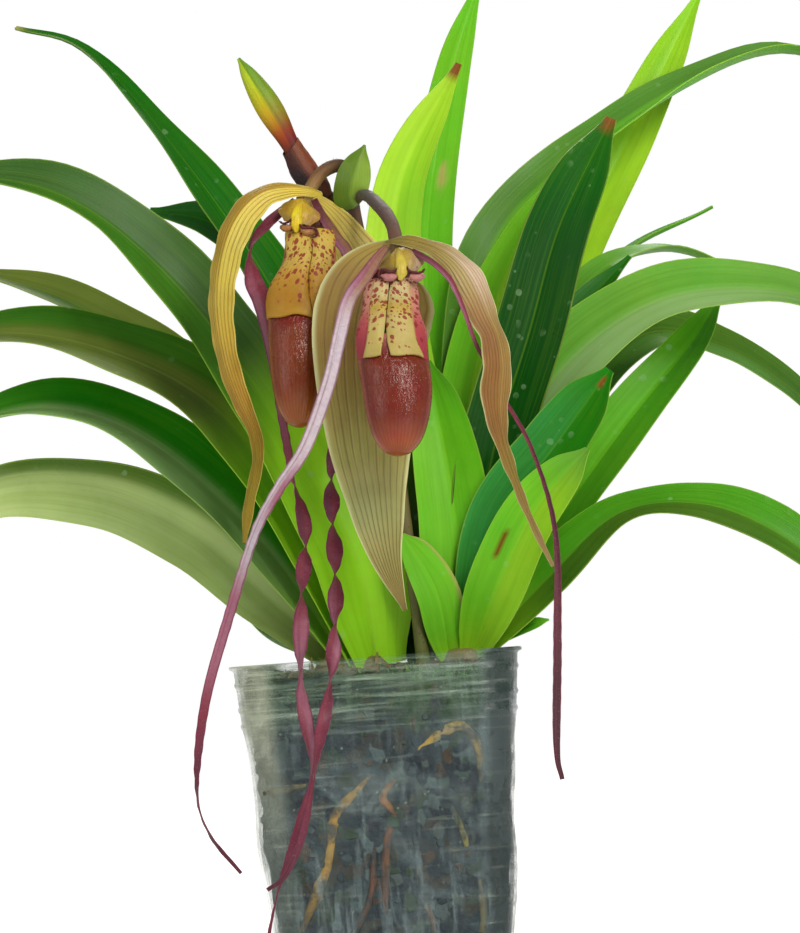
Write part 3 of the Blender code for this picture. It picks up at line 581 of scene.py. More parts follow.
def free_spot(x, y):
    """Whether a chip at this place on top is clear of both crowns and the flowering stem."""
    clear = [math.hypot((x - cx) / (rx + CLEAR_OF_CROWN), (y - cy) / (ry + CLEAR_OF_CROWN)) > 1
             for _, (cx, cy), (rx, ry), _ in CROWNS]
    return all(clear) and math.dist((x, y), STEM_SPOT) > CLEAR_OF_STEM


def splinter(centre, shape):
    """Add a lump of twenty sides, and give the number of its first point and its points."""
    first = len(chips.verts)
    bmesh.ops.create_icosphere(chips, subdivisions=1, radius=1.0,
                               matrix=Matrix.Translation(centre) @ shape)
    chips.verts.ensure_lookup_table()
    return first, chips.verts[first:]


def mottled(name, scale, amount, hue, rough, depth):
    """A rough skin in the points' own colours, drifted, with fine relief."""
    made, tree, shader = finish(name)
    soft = placed(tree, drift, tint_of(tree), object_place(tree), scale, amount, hue)
    wire(tree, shader, Base_Color=soft["Colour"], Roughness=rough,
         Normal=bump(tree, soft["Height"], depth))
    return made


while len(chips.verts) < CHIP_POINTS * TOP_CHIPS:
    x, y = chance.uniform(-45, 45), chance.uniform(-45, 45)
    if not free_spot(x, y):
        continue
    reach, z = chance.uniform(1.2, 3.6), MIX_TOP + 1.6 + chance.uniform(-0.6, 1.2)
    tone = srgb(*chance.choice(BARKS))
    turn = Matrix.Rotation(chance.uniform(0, 6.28), 4, "Z")
    tilt = Matrix.Rotation(chance.uniform(-0.5, 0.5), 4, "X")
    flat = Matrix.Diagonal((reach, reach * chance.uniform(0.45, 0.9), reach * 0.5, 1))
    first, points = splinter((x, y, z), turn @ tilt @ flat)
    for vert in points:
        vert.co += Vector([chance.uniform(-0.22, 0.22) * reach for _ in range(3)])
    tinted(chips, first, tone)
for _ in range(WALL_CHIPS):
    quarter, z = chance.randrange(4), chance.uniform(5, 109)
    x, reach = chance.uniform(-0.76, 0.76) * mix_half(z), chance.uniform(1.2, 3.2)
    centre = Vector((x, -(mix_half(z) - 1.0), z))
    squeeze = Matrix.Diagonal((reach, 1.3, reach * chance.uniform(0.5, 1.6), 1))
    first, points = splinter(centre, squeeze)
    turn = Matrix.Rotation(quarter * math.pi / 2, 3, "Z")
    shift = sagged(turn @ centre, wall_sag(z)) - turn @ centre
    for vert in points:
        jag = Vector([chance.uniform(low, high) for low, high in WALL_JAGS])
        vert.co = shift + turn @ (vert.co + jag)
    tinted(chips, first, srgb(*chance.choice(WALL_BARKS)))
bark = mottled("bark_chip", 420.0, 0.35, 0.02, 0.8, 0.4)
place("bark_chips", chips, bark, "potting_mix", 30.0)

# Moss: short soft tufts, most of them where light comes in under the rim at the front.
MOSS_TUFTS, MOSS_EDGE, MOSS_TOP, MOSS_AT_EDGE = 520, 111.0, 113.5, 0.7
MOSS_TONES = ((74, 120, 34), (52, 92, 30), (96, 138, 44), (40, 72, 28))
moss = new_body()
for _ in range(MOSS_TUFTS):
    if chance.random() < MOSS_AT_EDGE:
        x, y, z = chance.gauss(24, 8), 0.6 - mix_half(110) + abs(chance.gauss(0, 1.6)), MOSS_EDGE
    else:
        x, y, z = chance.uniform(-44, 44), chance.uniform(-46, 46), MOSS_TOP
    x, y = min(max(x, -46), 46), min(max(y, -48.0), 47.5)
    if not free_spot(x, y):
        continue
    lean = Matrix.Rotation(chance.uniform(-0.6, 0.6), 4, "X") @ Matrix.Rotation(
        chance.uniform(-0.6, 0.6), 4, "Y")
    tall, first = chance.uniform(1.8, 4.2), len(moss.verts)
    bmesh.ops.create_cone(moss, cap_ends=True, segments=4, radius1=0.55, radius2=0.12, depth=tall,
                          matrix=Matrix.Translation((x, y, z + tall / 2)) @ lean)
    tinted(moss, first, srgb(*chance.choice(MOSS_TONES)))
place("moss_tufts", moss, mottled("moss_tuft", 500.0, 0.4, 0.03, 0.85, 0.2), "potting_mix")


# The leaves: long straps that rise in fans from three growths, folded at the foot, where each
# clasps the next, and opening to a channel with a sunk midrib and a thin translucent edge.
GREENS = {
    "lime": (138, 194, 36), "yellow_lime": (164, 210, 48), "young": (148, 214, 38),
    "bright": (104, 180, 36), "fresh": (88, 164, 26), "grass": (70, 142, 24),
    "soft": (98, 156, 54), "dusty": (84, 134, 50), "sheen": (46, 132, 54), "jade": (32, 120, 8),
    "deep": (24, 98, 8), "emerald": (11, 70, 8), "shade_green": (52, 104, 22),
    "shadow": (44, 72, 20), "bottle": (64, 118, 30), "moss": (66, 104, 28),
    "dull": (60, 96, 42), "olive": (96, 112, 44), "olive_dark": (74, 106, 28),
    # pale_olive and pale are the lowest broad leaf's greens, partly a painted sheen where light
    # glanced off it.
    "pale_olive": (166, 186, 116), "glaucous": (134, 172, 104), "pale": (204, 218, 156),
    "straw": (168, 160, 92), "brown": (128, 72, 34), "rust": (112, 38, 10),
}
# Half widths from foot to tip, as shares of a leaf's greatest.
LEAF_OUTLINE = (0.42, 0.66, 0.84, 0.95, 1.0, 1.0, 0.97, 0.9, 0.78, 0.56, 0.1)
LONG_TIP = (0.45, 0.7, 0.88, 0.98, 1.0, 0.97, 0.86, 0.62, 0.36, 0.22, 0.06)
BLUNT_TIP = (0.42, 0.66, 0.84, 0.95, 1.0, 1.02, 1.03, 1.0, 0.93, 0.74, 0.16)
WIDE_FOOT = (0.62, 1.08, 1.16, 1.12, 1.04, 1.0, 0.97, 0.9, 0.78, 0.56, 0.1)
NARROW_WAIST = (0.5, 0.85, 1.05, 1.0, 0.78, 0.58, 0.72, 0.95, 1.0, 0.8, 0.2)
OUTLINES = {"high_dark": LONG_TIP, "thin_behind": LONG_TIP, "low": NARROW_WAIST,
            "big_channelled": WIDE_FOOT, "front": WIDE_FOOT, "shade": WIDE_FOOT,
            "dark_glossy": BLUNT_TIP, "rounded": BLUNT_TIP, "short_dark": BLUNT_TIP}
# Where the two halves' greens meet across the leaf, for those that show one half more.
SPLITS = {"middle": 0.35, "lowest_broad": 0.5, "arch": 0.1, "lower": 0.1, "drooping": -0.1}
# The foot stays pale for a third of the way up on the leaves that grew deepest in the fan.
PALE_FEET = ("big_channelled", "middle")
LEAF_THICKNESS, CROWN_SINK, FOOT_PINCH = 1.3, 5.0, 12
# Each line gives the midrib from the crown out, the greatest half width, what the upper face
# looks at near the foot and near the tip, the fold there, and the greens of the foot, of the
# half that lies towards the sky, of the half below, and of the tip.
# The greens of the two halves are partly each leaf's own colour and partly painted light and shade:
# one half painted lighter and the other darker, some greyed by a painted sheen, as the light fell on
# them.
LEFT_LEAVES = {
    "high_dark": (((-6, 4, 125), (-11, 12, 205), (-31, 26, 266), (-69, 46, 331), (-100, 62, 371),
                   (-128, 72, 384)), 13, (0.3, -0.9, 0.1), (0.5, -0.7, 0.5), 40, 25,
                  ("lime", "deep", "deep", "deep")),
    "big_channelled": (((0, -2, 121), (-7, -8, 164), (-34, -14, 218), (-68, -18, 268),
                        (-104, -22, 299), (-150, -20, 312)), 17, (0.3, -0.9, 0.3),
                       (0.3, -0.7, 0.7), 14, 35, ("young", "dull", "bottle", "dull")),
    "short_dark": (((-5, 8, 125), (-11, 20, 211), (-29, 34, 267), (-52, 46, 294), (-78, 58, 303)),
                   10, (0.3, -0.9, 0.2), (0.1, -0.9, 0.4), 30, 25,
                   ("bright", "deep", "deep", "deep")),
    "behind": (((-7, 6, 125), (-25, 16, 181), (-65, 36, 230), (-108, 56, 267), (-155, 72, 288)),
               14, (0.3, -0.9, 0.3), (0.3, -0.6, 0.8), 30, 25,
               ("bright", "olive", "moss", "olive")),
    "middle": (((-8, -3, 123), (-25, -4, 173), (-54, -2, 218), (-94, 4, 243), (-134, 10, 253),
                (-168, 14, 246)), 17, (0.4, -0.9, 0.3), (0.1, -0.6, 0.8), 25, 25,
               ("lime", "shade_green", "olive", "moss")),
    "lower": (((-13, 2, 121), (-40, 6, 167), (-80, 14, 208), (-119, 24, 225), (-165, 34, 220)),
              16, (0.5, -0.8, 0.4), (0.1, -0.6, 0.8), 25, 30,
              ("lime", "jade", "glaucous", "grass")),
    "lowest_broad": (((-16, 6, 121), (-42, 14, 148), (-68, 24, 174), (-103, 36, 192),
                      (-143, 46, 196), (-180, 52, 180)), 15.5, (0.5, -0.9, -0.4),
                     (0.2, -0.9, -0.5), 20, 25, ("olive", "olive_dark", "pale_olive", "pale")),
    "sliver": (((-20, 7, 121), (-38, 18, 131), (-52, 28, 146)), 4.5, (0.5, -0.8, 0.5),
               (0.3, -0.8, 0.5), 25, 20, ("grass", "grass", "grass", "grass")),
}
INNER_LEAVES = {
    "small_front": (((27, -10, 120), (25, -17, 139), (20, -19, 152), (13, -21, 164)), 8.5,
                    (0.1, -1.0, 0.1), (0.1, -1.0, 0.2), 20, 15,
                    ("lime", "bright", "bright", "bright")),
    "front": (((31, -6, 122), (33, -12, 153), (32, -14, 183), (27, -14, 228)), 14,
              (0.0, -1.0, 0.1), (0.0, -1.0, 0.1), 20, 20, ("lime", "bright", "fresh", "grass")),
    "lime": (((28, 2, 122), (25, 8, 177), (17, 14, 243), (22, 18, 298), (48, 18, 345)), 13,
             (0.0, -1.0, 0.1), (-0.1, -1.0, 0.1), 25, 30,
             ("lime", "yellow_lime", "lime", "yellow_lime")),
    "tall": (((32, 5, 122), (29, 22, 197), (31, 38, 280), (45, 50, 345), (60, 56, 386)), 11,
             (-0.1, -1.0, 0.1), (0.2, -1.0, 0.2), 30, 30, ("lime", "bright", "bright", "bright")),
    "dark_tip": (((29, 5, 122), (27, 44, 218), (34, 64, 288), (44, 72, 322)), 9,
                 (-0.1, -1.0, 0.1), (-0.3, -1.0, 0.3), 30, 25,
                 ("bright", "deep", "deep", "deep")),
    "shade": (((16.5, 4, 121), (17, 3, 150), (16, 3, 206)), 9, (0.1, -1.0, 0.0), (0.3, -1.0, 0.1),
              25, 20, ("shadow", "shadow", "shadow", "moss")),
}
OUTER_LEAVES = {
    "arch": (((33, 4, 122), (39, 15, 196), (54, 26, 269), (89, 36, 306), (135, 48, 335),
              (175, 58, 349), (212, 66, 340)), 13, (0.2, -1.0, 0.3), (-0.2, -0.25, 1.0), 35, 30,
             ("bright", "dusty", "bright", "dusty")),
    "back": (((35, 6, 122), (53, 26, 199), (82, 42, 263), (119, 58, 325), (148, 66, 376)), 14,
             (0.0, -1.0, 0.1), (-0.1, -1.0, 0.3), 30, 30, ("lime", "lime", "yellow_lime", "lime")),
    "light": (((35, 2, 122), (37, 8, 184), (52, 14, 245), (84, 20, 300)), 13, (0.0, -1.0, 0.1),
              (0.0, -1.0, 0.2), 30, 25, ("lime", "bright", "lime", "bright")),
    "dark_glossy": (((38, -6, 121), (46, -10, 182), (66, -14, 237), (80, -16, 275),
                     (102, -18, 313)), 14, (0.0, -1.0, 0.1), (0.0, -1.0, 0.2), 25, 30,
                    ("fresh", "emerald", "emerald", "deep")),
    "wide_light": (((39, -4, 121), (53, -4, 186), (78, -6, 223), (115, -10, 245), (157, -16, 245),
                    (190, -22, 230)), 15, (-0.2, -1.0, 0.2), (0.0, -0.8, 0.7), 20, 25,
                   ("bright", "soft", "glaucous", "dusty")),
    "arched_behind": (((39, 2, 121), (58, 12, 206), (91, 28, 257), (122, 42, 271), (155, 56, 262)),
                      9, (-0.2, -0.9, 0.4), (0.0, -0.2, 1.0), 25, 20,
                      ("bright", "soft", "soft", "soft")),
    "thin_behind": (((39, 4, 121), (66, 20, 215), (101, 44, 266), (147, 74, 291)), 7,
                    (-0.2, -0.9, 0.3), (-0.2, -0.2, 1.0), 25, 20,
                    ("bright", "grass", "grass", "grass")),
    "dark_behind": (((38, 0, 121), (60, 6, 201), (81, 12, 239), (108, 20, 266)), 9,
                    (-0.2, -1.0, 0.3), (-0.3, -0.9, 0.4), 25, 20,
                    ("fresh", "deep", "emerald", "deep")),
    "strap": (((41, -2, 121), (66, 0, 159), (98, 4, 198), (127, 10, 229), (141, 14, 248)), 12,
              (-0.3, -0.9, 0.2), (-0.3, -0.9, 0.3), 30, 25,
              ("lime", "fresh", "grass", "grass")),
    "drooping": (((41, 4, 121), (76, 20, 201), (111, 38, 237), (144, 54, 232), (170, 66, 216),
                  (192, 72, 192)), 12, (-0.2, -0.9, 0.4), (0.1, -0.7, 0.7), 25, 20,
                 ("bright", "moss", "dusty", "dull")),
    "rounded": (((37, -8, 121), (49, -18, 166), (71, -24, 192), (93, -32, 218)), 12.5,
                (-0.2, -1.0, 0.2), (-0.1, -1.0, 0.2), 20, 25,
                ("bright", "sheen", "jade", "jade")),
    "low_light": (((37, -13, 121), (46.5, -25, 142), (60.5, -35, 167), (82, -42, 189)), 12,
                  (-0.3, -1.0, 0.1), (-0.3, -1.0, 0.2), 20, 20,
                  ("lime", "bright", "lime", "soft")),
    "low": (((41, -8, 121), (66, -16, 145), (93, -24, 166), (122, -32, 167), (147, -40, 155),
             (172, -46, 132)), 10.5, (-0.4, -0.9, 0.3), (0.2, -0.8, 0.6), 25, 25,
            ("lime", "grass", "moss", "bottle")),
    "sprout": (((40, -8, 121.5), (52, -13, 126), (64, -20, 129)), 3.0, (0.0, -1.0, 0.3),
               (0.0, -1.0, 0.3), 20, 15, ("bright", "grass", "grass", "bright")),
}
# Pale specks painted as glints of light on the gloss, as a share of the cells, on the leaves that
# show them most.
GLINT_SPECKS = {"dark_glossy": 0.5, "rounded": 0.35, "high_dark": 0.2, "strap": 0.2}
# Scars and dead tips: the place across and along the leaf, the reach there, and the colour.
SCARS = {"low_light": (-0.45, 0.5, 0.10, 0.06, "rust"), "rounded": (0.1, 0.96, 0.25, 0.02, "brown"),
         "dark_glossy": (0.0, 1.0, 1.2, 0.02, "brown"), "lime": (0.0, 1.0, 1.5, 0.03, "brown"),
         "high_dark": (0.0, 1.0, 1.2, 0.015, "straw"), "tall": (0.4, 0.7, 0.2, 0.02, "straw"),
         "small_front": (1.0, 0.6, 0.12, 0.5, "straw"), "arch": (0.0, 1.0, 1.2, 0.02, "straw")}


def blade(body, points, half_widths, faces, folds, thick, stations, across, crease=0.0,
          twists=(0.0, 0.0), ruffle=(0.0, 20.0), ribs=(0, 0.0), groove=0.0, edge=0.6, seed=0):
    """Add a thin closed blade that follows a route.

    A grid is grown into a slab and bent: it is as wide as half_widths say, its upper face looks
    along the faces, turned about the route by the twists, and its edges rise by the folds, round
    or creased. Ruffle is the height and length of the waves along its edges.
    """
    form = body.verts.layers.float_vector["form"]
    route = route_through(points, stations)
    length = sum((b - a).length for a, b in zip(route, route[1:]))
    wave = random.Random(seed)
    starts = [wave.uniform(0, 2 * math.pi) for _ in range(2)]
    first_face, first = len(body.faces), len(body.verts)
    low = bmesh.ops.create_grid(body, x_segments=stations - 1, y_segments=across, size=1.0)["verts"]
    body.faces.ensure_lookup_table()
    grown = bmesh.ops.extrude_face_region(body, geom=body.faces[first_face:], use_keep_orig=True)
    high = [item for item in grown["geom"] if isinstance(item, bmesh.types.BMVert)]
    for vert in high:
        vert.co.z = 1.0
    for vert in low + high:
        t, s, upper = (vert.co.x + 1) / 2, vert.co.y, vert.co.z
        if groove:
            s *= 0.65 + 0.35 * s * s
        i = round(t * (stations - 1))
        tangent = (route[min(i + 1, stations - 1)] - route[max(i - 1, 0)]).normalized()
        look = Vector(along(faces, t))
        look = (look - tangent * look.dot(tangent)).normalized()
        turn = math.radians(along(twists, t))
        side = tangent.cross(look)
        look, side = (look * math.cos(turn) + side * math.sin(turn),
                      side * math.cos(turn) - look * math.sin(turn))
        width, fold = along(half_widths, t), math.radians(along(folds, t))
        bend, sign = max(abs(fold), 1e-4), 1 if fold >= 0 else -1
        reach = math.hypot(s, 0.15)
        out = width / bend * math.sin(bend * s) * (1 - crease) + width * s * math.cos(fold) * crease
        rise = width / bend * (1 - math.cos(bend * s)) * sign * (1 - crease)
        rise += width * (reach - 0.15) * math.sin(fold) * crease
        lean = fold * (s * (1 - crease) + crease * s / reach)
        waved = 2 * math.pi * t * length / ruffle[1] + starts[s > 0]
        rise += ruffle[0] * abs(s) ** 3 * math.sin(waved) * math.sin(math.pi * t) ** 0.5
        rise += ribs[1] * (1 - s * s) * math.cos(math.pi * ribs[0] * s) * min(1, 12 * t, 8 - 8 * t)
        rise -= groove * math.exp(-(s / 0.09) ** 2) * min(1, 3 - 3 * t)
        normal = look * math.cos(lean) - side * math.sin(lean)
        vert[form] = (s, t, upper)
        vert.co = (route[i] + side * out + look * rise
                   - normal * thick * (1 - edge * s * s) * (1 - upper))
    return first


def eased(x):
    x = min(max(x, 0.0), 1.0)
    return x * x * (3 - 2 * x)


def mixed(a, b, part):
    return tuple(x * (1 - part) + y * part for x, y in zip(a, b))


def shades(tones):
    return [srgb(*tone) for tone in tones]


def halves(left, right, soft=0.25, split=0.0):
    """A colour for each point of a blade from the tones along its left and right halves."""
    left, right = shades(left), shades(right)

    def shade(s, t, _):
        return mixed(along(left, t), along(right, t), eased((s - split + soft) / (2 * soft)))
    return shade


# Waxy green tissue: fine fibres from foot to tip, a pale midrib, a light edge, pale specks
# painted as glints of light, and a satin gloss that breaks over the fibres.
leaf_skin, tree, shader = finish("waxy_leaf")
across, length, _ = form_of(tree)
spot = object_place(tree)
from_middle = maths(tree, "ABSOLUTE", across)
strand = placed(tree, fibres, across, length, 16.0, 2.6)["Value"]
band = placed(tree, fibres, across, length, 3.2, 0.9)["Value"]
colour = blend(tree, ease(tree, band, 0.35, 0.7, 0.0, 0.4), tint_of(tree), srgb(196, 214, 130),
               "MULTIPLY")
colour = blend(tree, ease(tree, strand, 0.45, 0.75, 0.0, 0.07), colour, srgb(150, 196, 40))
colour = blend(tree, ease(tree, strand, 0.5, 0.25, 0.0, 0.2), colour, srgb(170, 186, 130),
               "MULTIPLY")
soft = placed(tree, drift, colour, spot, 36.0, 0.13, 0.010)
midrib = ease(tree, from_middle, 0.0, 0.05, 0.14, 0.0)
colour = blend(tree, midrib, soft["Colour"], srgb(150, 186, 50))
colour = blend(tree, ease(tree, from_middle, 0.95, 0.99, 0.0, 0.35), colour, srgb(160, 190, 70))
# Pale specks in patches: painted glints of light on the waxy gloss.
speck = placed(tree, flecks, spot, 260.0, 0.42, tint_of(tree, "Alpha"))["Mask"]
glint_patches = ease(tree, clouds(tree, spot, 90.0, 4.0)["Fac"], 0.45, 0.7, 0.0, 0.3)
colour = blend(tree, times(tree, speck, glint_patches), colour, srgb(150, 186, 140))
relief = plus(tree, strand, times(tree, soft["Height"], 1.5))
wire(tree, shader, Base_Color=colour, Roughness=ease(tree, soft["Height"], 0.3, 0.7, 0.26, 0.40),
     Specular_IOR_Level=0.10, Normal=bump(tree, relief, 0.09))


def growth(name, leaves, hand, node_name, seed):
    """One fan of leaves; hand is -1 where it leans to the left."""
    body = new_body()
    for i, (label, (midrib, half, foot_face, tip_face, foot_fold, tip_fold,
                    tones)) in enumerate(leaves.items()):
        foot = Vector(midrib[0])
        sunk = foot - (Vector(midrib[1]) - foot).normalized() * CROWN_SINK
        middle = (foot_fold + tip_fold) / 2
        outline = OUTLINES.get(label, LEAF_OUTLINE)
        first = blade(body, [sunk, *midrib], [half * part for part in outline],
                      (foot_face, tip_face),
                      (foot_fold + FOOT_PINCH, foot_fold, middle, tip_fold, tip_fold),
                      LEAF_THICKNESS, 60, 14, crease=0.7, ruffle=(0.05 * half, 55.0), groove=0.35,
                      edge=0.7, seed=seed + i)
        foot_tone, sky, ground, tip = [GREENS[tone] for tone in tones]
        feet = [foot_tone] * (3 if label in PALE_FEET else 1)
        # The halves' greens carry painted light and shade as well as each leaf's own colour.
        sky, ground = [*feet, sky, sky, sky, tip], [*feet, ground, ground, ground, tip]
        left, right = (ground, sky) if hand < 0 else (sky, ground)
        shade = halves(left, right, 0.18, SPLITS.get(label, 0.0) * -hand)
        scar = SCARS.get(label)

        def painted(s, t, upper):
            colour = shade(s, t, upper)
            if scar:
                at, place_along, wide, long, tone = scar
                near = math.hypot((s - at) / wide, (t - place_along) / long)
                colour = mixed(colour, srgb(*GREENS[tone]), eased((1.3 - near) / 0.6))
            return colour

        tinted(body, first, painted, GLINT_SPECKS.get(label, 0.05))
    place(name, body, leaf_skin, node_name, 40.0)


growth("left_growth", LEFT_LEAVES, -1, "leaves_left", 100)
growth("inner_growth", INNER_LEAVES, 1, "leaves_right", 200)
growth("outer_growth", OUTER_LEAVES, 1, "leaves_right", 300)

# The crowns: the swollen foot of each growth, wrapped in the split, papery ends of old leaves.
CROWN_RINGS = ((101, 0.9), (108, 0.98), (113, 0.95), (117, 0.86), (120, 0.74), (122, 0.5),
               (122.6, 0.15))
CROWN_TONES = ((92, 66, 38), (120, 96, 50), (128, 150, 48))
OLD_LEAVES, DRY_TONES = 11, ((96, 68, 40), (150, 120, 70), (176, 150, 96))
crown_skin, tree, shader = finish("crown_sheath")
across, length, _ = form_of(tree)
strand = placed(tree, fibres, across, length, 12.0, 1.5)["Value"]
soft = placed(tree, drift, tint_of(tree), object_place(tree), 120.0, 0.25, 0.015)
colour = blend(tree, ease(tree, strand, 0.35, 0.65, 0.6, 0.0), soft["Colour"], srgb(80, 58, 36))
wire(tree, shader, Base_Color=colour, Roughness=0.6, Normal=bump(tree, strand, 0.2))
for name, (cx, cy), (rx, ry), node_name in CROWNS:
    body = new_body()
    rings = []
    for z, share in CROWN_RINGS:
        rings.append([Vector((cx + rx * share * math.cos(a), cy + ry * share * math.sin(a), z))
                      for a in [2 * math.pi * k / 32 for k in range(32)]])
    loft(body, rings, lambda t, i: (math.cos(2 * math.pi * i) * 2, t, 0.0))
    tinted(body, 0, lambda s, t, u: along(shades(CROWN_TONES), t))
    for k in range(OLD_LEAVES):
        a = 2 * math.pi * (k + 0.3) / OLD_LEAVES
        ray = Vector((math.cos(a), math.sin(a), 0))
        foot = Vector((cx, cy, 103)) + Vector((ray.x * rx, ray.y * ry, 0)) * 0.93
        tip = foot + ray * chance.uniform(0.4, 1.6) + Vector((0, 0, chance.uniform(13, 19)))
        middle = foot.lerp(tip, 0.55) + ray * 0.6
        first = blade(body, (foot, middle, tip), (4.4, 4.8, 3.6, 1.6, 0.3), [tuple(ray)] * 2,
                      (-24, -18), 0.5, 12, 6, ruffle=(0.4, 7.0), seed=k)
        tinted(body, first, halves(DRY_TONES, DRY_TONES))
    place(name, body, crown_skin, node_name)


# The flowering stem: one downy purple-brown stalk that stands in the mix between the growths.
# It forks at its top joint into the bud's stalk and the two ribbed ovaries that hold the blooms.
FRONT_HUB, REAR_HUB = (18.6, -104.0, 258.5), (-13.0, -61.0, 284.5)
STEM_JOINT = (4.0, -46.0, 283.0)
STEM_PARTS = {
    "stalk": (((17, -11, 102), (17, -12, 124), (15, -14, 160), (12, -20, 205), (8, -33, 250),
               STEM_JOINT), (2.6, 2.5, 2.3, 2.2, 2.4), 60,
              [(92, 104, 44), (104, 96, 54), (98, 70, 52), (86, 62, 48)]),
    "bud_stalk": ((STEM_JOINT, (0, -44.2, 283.6), (-2.8, -43.5, 285.4), (-4.8, -43.5, 288.6)),
                  (2.2, 2.0, 1.8), 14, [(90, 66, 44), (72, 46, 32)]),
    "front_ovary": ((STEM_JOINT, (8, -58, 285), (13, -76, 278), (17, -92, 269), FRONT_HUB),
                    (1.6, 2.0, 2.35, 2.45, 2.3, 2.5), 44,
                    [(104, 98, 70), (88, 84, 76), (84, 72, 70), (88, 66, 58), (98, 66, 46)]),
    "rear_ovary": ((STEM_JOINT, (5, -46.5, 291), (1.5, -51, 297), (-6, -56, 294.5), REAR_HUB),
                   (1.6, 2.0, 2.35, 2.45, 2.3, 2.5), 34,
                   [(72, 52, 30), (60, 42, 24), (72, 50, 28), (116, 84, 48), (150, 118, 70)]),
}
STALK_HAIRS, OTHER_HAIRS = 60, 230
stem = new_body()
down = []
for label, (points, radii, stations, tones) in STEM_PARTS.items():
    ribs = (3, 0.16) if "ovary" in label else (0, 0.0)
    first = len(stem.verts)
    tube(stem, points, radii, stations, 18, ribs=ribs, lump=0.12)
    tinted(stem, first, lengthwise(shades(tones)))
    route = route_through(points, 200)
    for _ in range(STALK_HAIRS if label == "stalk" else OTHER_HAIRS):
        i = chance.randrange(4, 196)
        tangent = (route[i + 1] - route[i - 1]).normalized()
        ray = Vector([chance.gauss(0, 1) for _ in range(3)])
        ray = (ray - tangent * ray.dot(tangent)).normalized()
        down.append((route[i] + ray * along(radii, i / 199) * 0.95, ray + tangent * 0.5))
for hub, tone in ((FRONT_HUB, (128, 104, 62)), (REAR_HUB, (178, 150, 84))):
    first = len(stem.verts)
    bmesh.ops.create_uvsphere(stem, u_segments=24, v_segments=16, radius=3.0,
                              matrix=Matrix.Translation(hub))
    tinted(stem, first, srgb(*tone))


def tissue(name, rough=0.5, scale=160.0, amount=0.16, hue=0.012, depth=0.12, speck=None,
           fine=9.0, long=2.0):
    """Living skin that takes its colour from the points, with fibres, drift and fine relief."""
    made, tree, shader = finish(name)
    x, y, t = form_of(tree)
    spot = object_place(tree)
    strand = placed(tree, fibres, plus(tree, x, times(tree, y, 0.7)), t, fine, long)["Value"]
    colour = blend(tree, ease(tree, strand, 0.55, 0.3, 0.0, 0.45), tint_of(tree),
                   srgb(168, 150, 140), "MULTIPLY")
    soft = placed(tree, drift, colour, spot, scale, amount, hue)
    colour = soft["Colour"]
    if speck:
        tone, fineness, share = speck
        mask = placed(tree, flecks, spot, fineness, 0.3, share)["Mask"]
        colour = blend(tree, times(tree, mask, 0.7), colour, srgb(*tone))
    wire(tree, shader, Base_Color=colour, Specular_IOR_Level=0.3,
         Roughness=ease(tree, soft["Height"], 0.3, 0.7, rough - 0.08, rough + 0.1),
         Normal=bump(tree, plus(tree, soft["Height"], strand), depth))
    return made


stem_skin = tissue("downy_stem", rough=0.55, scale=240.0, depth=0.15,
                   speck=((70, 34, 44), 900.0, 0.3))
place("flower_stem_skin", stem, stem_skin, "flower_stem")


def hairs(name, spots, thick, tall, tone, node_name):
    """Fine hairs, each a drawn-out cone of three sides, standing on the given spots."""
    body = new_body()
    for spot, ray in spots:
        size = tall * chance.uniform(0.6, 1.2)
        turn = ray.to_track_quat("Z", "Y").to_matrix().to_4x4()
        shift = Matrix.Translation(Vector(spot) + ray.normalized() * size / 2)
        bmesh.ops.create_cone(body, cap_ends=True, segments=3, radius1=thick, radius2=thick * 0.15,
                              depth=size, matrix=shift @ turn)
    tinted(body, 0, srgb(*tone))
    place(name, body, tissue(name + "_skin", rough=0.6), node_name)


hairs("stem_down", down, 0.045, 0.75, (150, 126, 118), "flower_stem")


# The bracts and the bud: a folded green bract stands at the joint, a dark dry one wraps the
# foot of the bud, and the closed sepals of the bud meet in a ridge up to its tip.
BRACT_LINE = ((4.3, -52, 281.3), (3.0, -56, 284.4), (4.3, -59, 289.1), (6.7, -60.5, 295.4),
              (9.9, -59.5, 302.6))
BRACT_LEFT = ((92, 124, 34), (96, 128, 36), (90, 122, 28), (84, 116, 24))
BRACT_RIGHT = ((118, 148, 52), (126, 158, 54), (118, 150, 44), (96, 128, 30))
SHEATH_LINE = ((-5.0, -43.8, 286.8), (-12.4, -44.2, 296.6), (-17.2, -45, 306.6))
SHEATH_DARK = ((26, 18, 22), (36, 20, 24), (70, 32, 24), (90, 40, 22))
SHEATH_LIT = ((92, 46, 26), (112, 54, 26), (118, 60, 28), (104, 52, 22))
BUD_LINE = ((-15.9, -44.8, 304.4), (-21.2, -46, 315.6), (-27, -47, 327), (-33.6, -48, 339.5))
BUD_LIT = ((92, 38, 8), (148, 72, 8), (178, 146, 10), (172, 174, 14), (162, 180, 24),
           (132, 162, 28))
BUD_SHADED = ((70, 26, 4), (124, 50, 4), (124, 118, 8), (108, 136, 12), (98, 136, 16),
              (90, 128, 20))


def two_sided(low, high, start, span):
    """Tones read along a round piece, on one side of it and on the other."""
    low, high = shades(low), shades(high)

    def shade(x, y, t):
        return mixed(along(low, t), along(high, t), eased((y + start) / span))
    return shade


bract = new_body()
blade(bract, BRACT_LINE, (4.6, 6.4, 7.0, 6.6, 4.6, 0.5), ((0.0, -1.0, 0.0), (0.1, -1.0, 0.0)),
      (-26, -30, -34), 0.8, 36, 16, crease=0.8, ruffle=(0.3, 9.0), seed=7)
tinted(bract, 0, halves(BRACT_LEFT, BRACT_RIGHT, 0.08))
place("folded_bract", bract, tissue("green_bract_skin", rough=0.45, scale=200.0, amount=0.14),
      "green_bract")

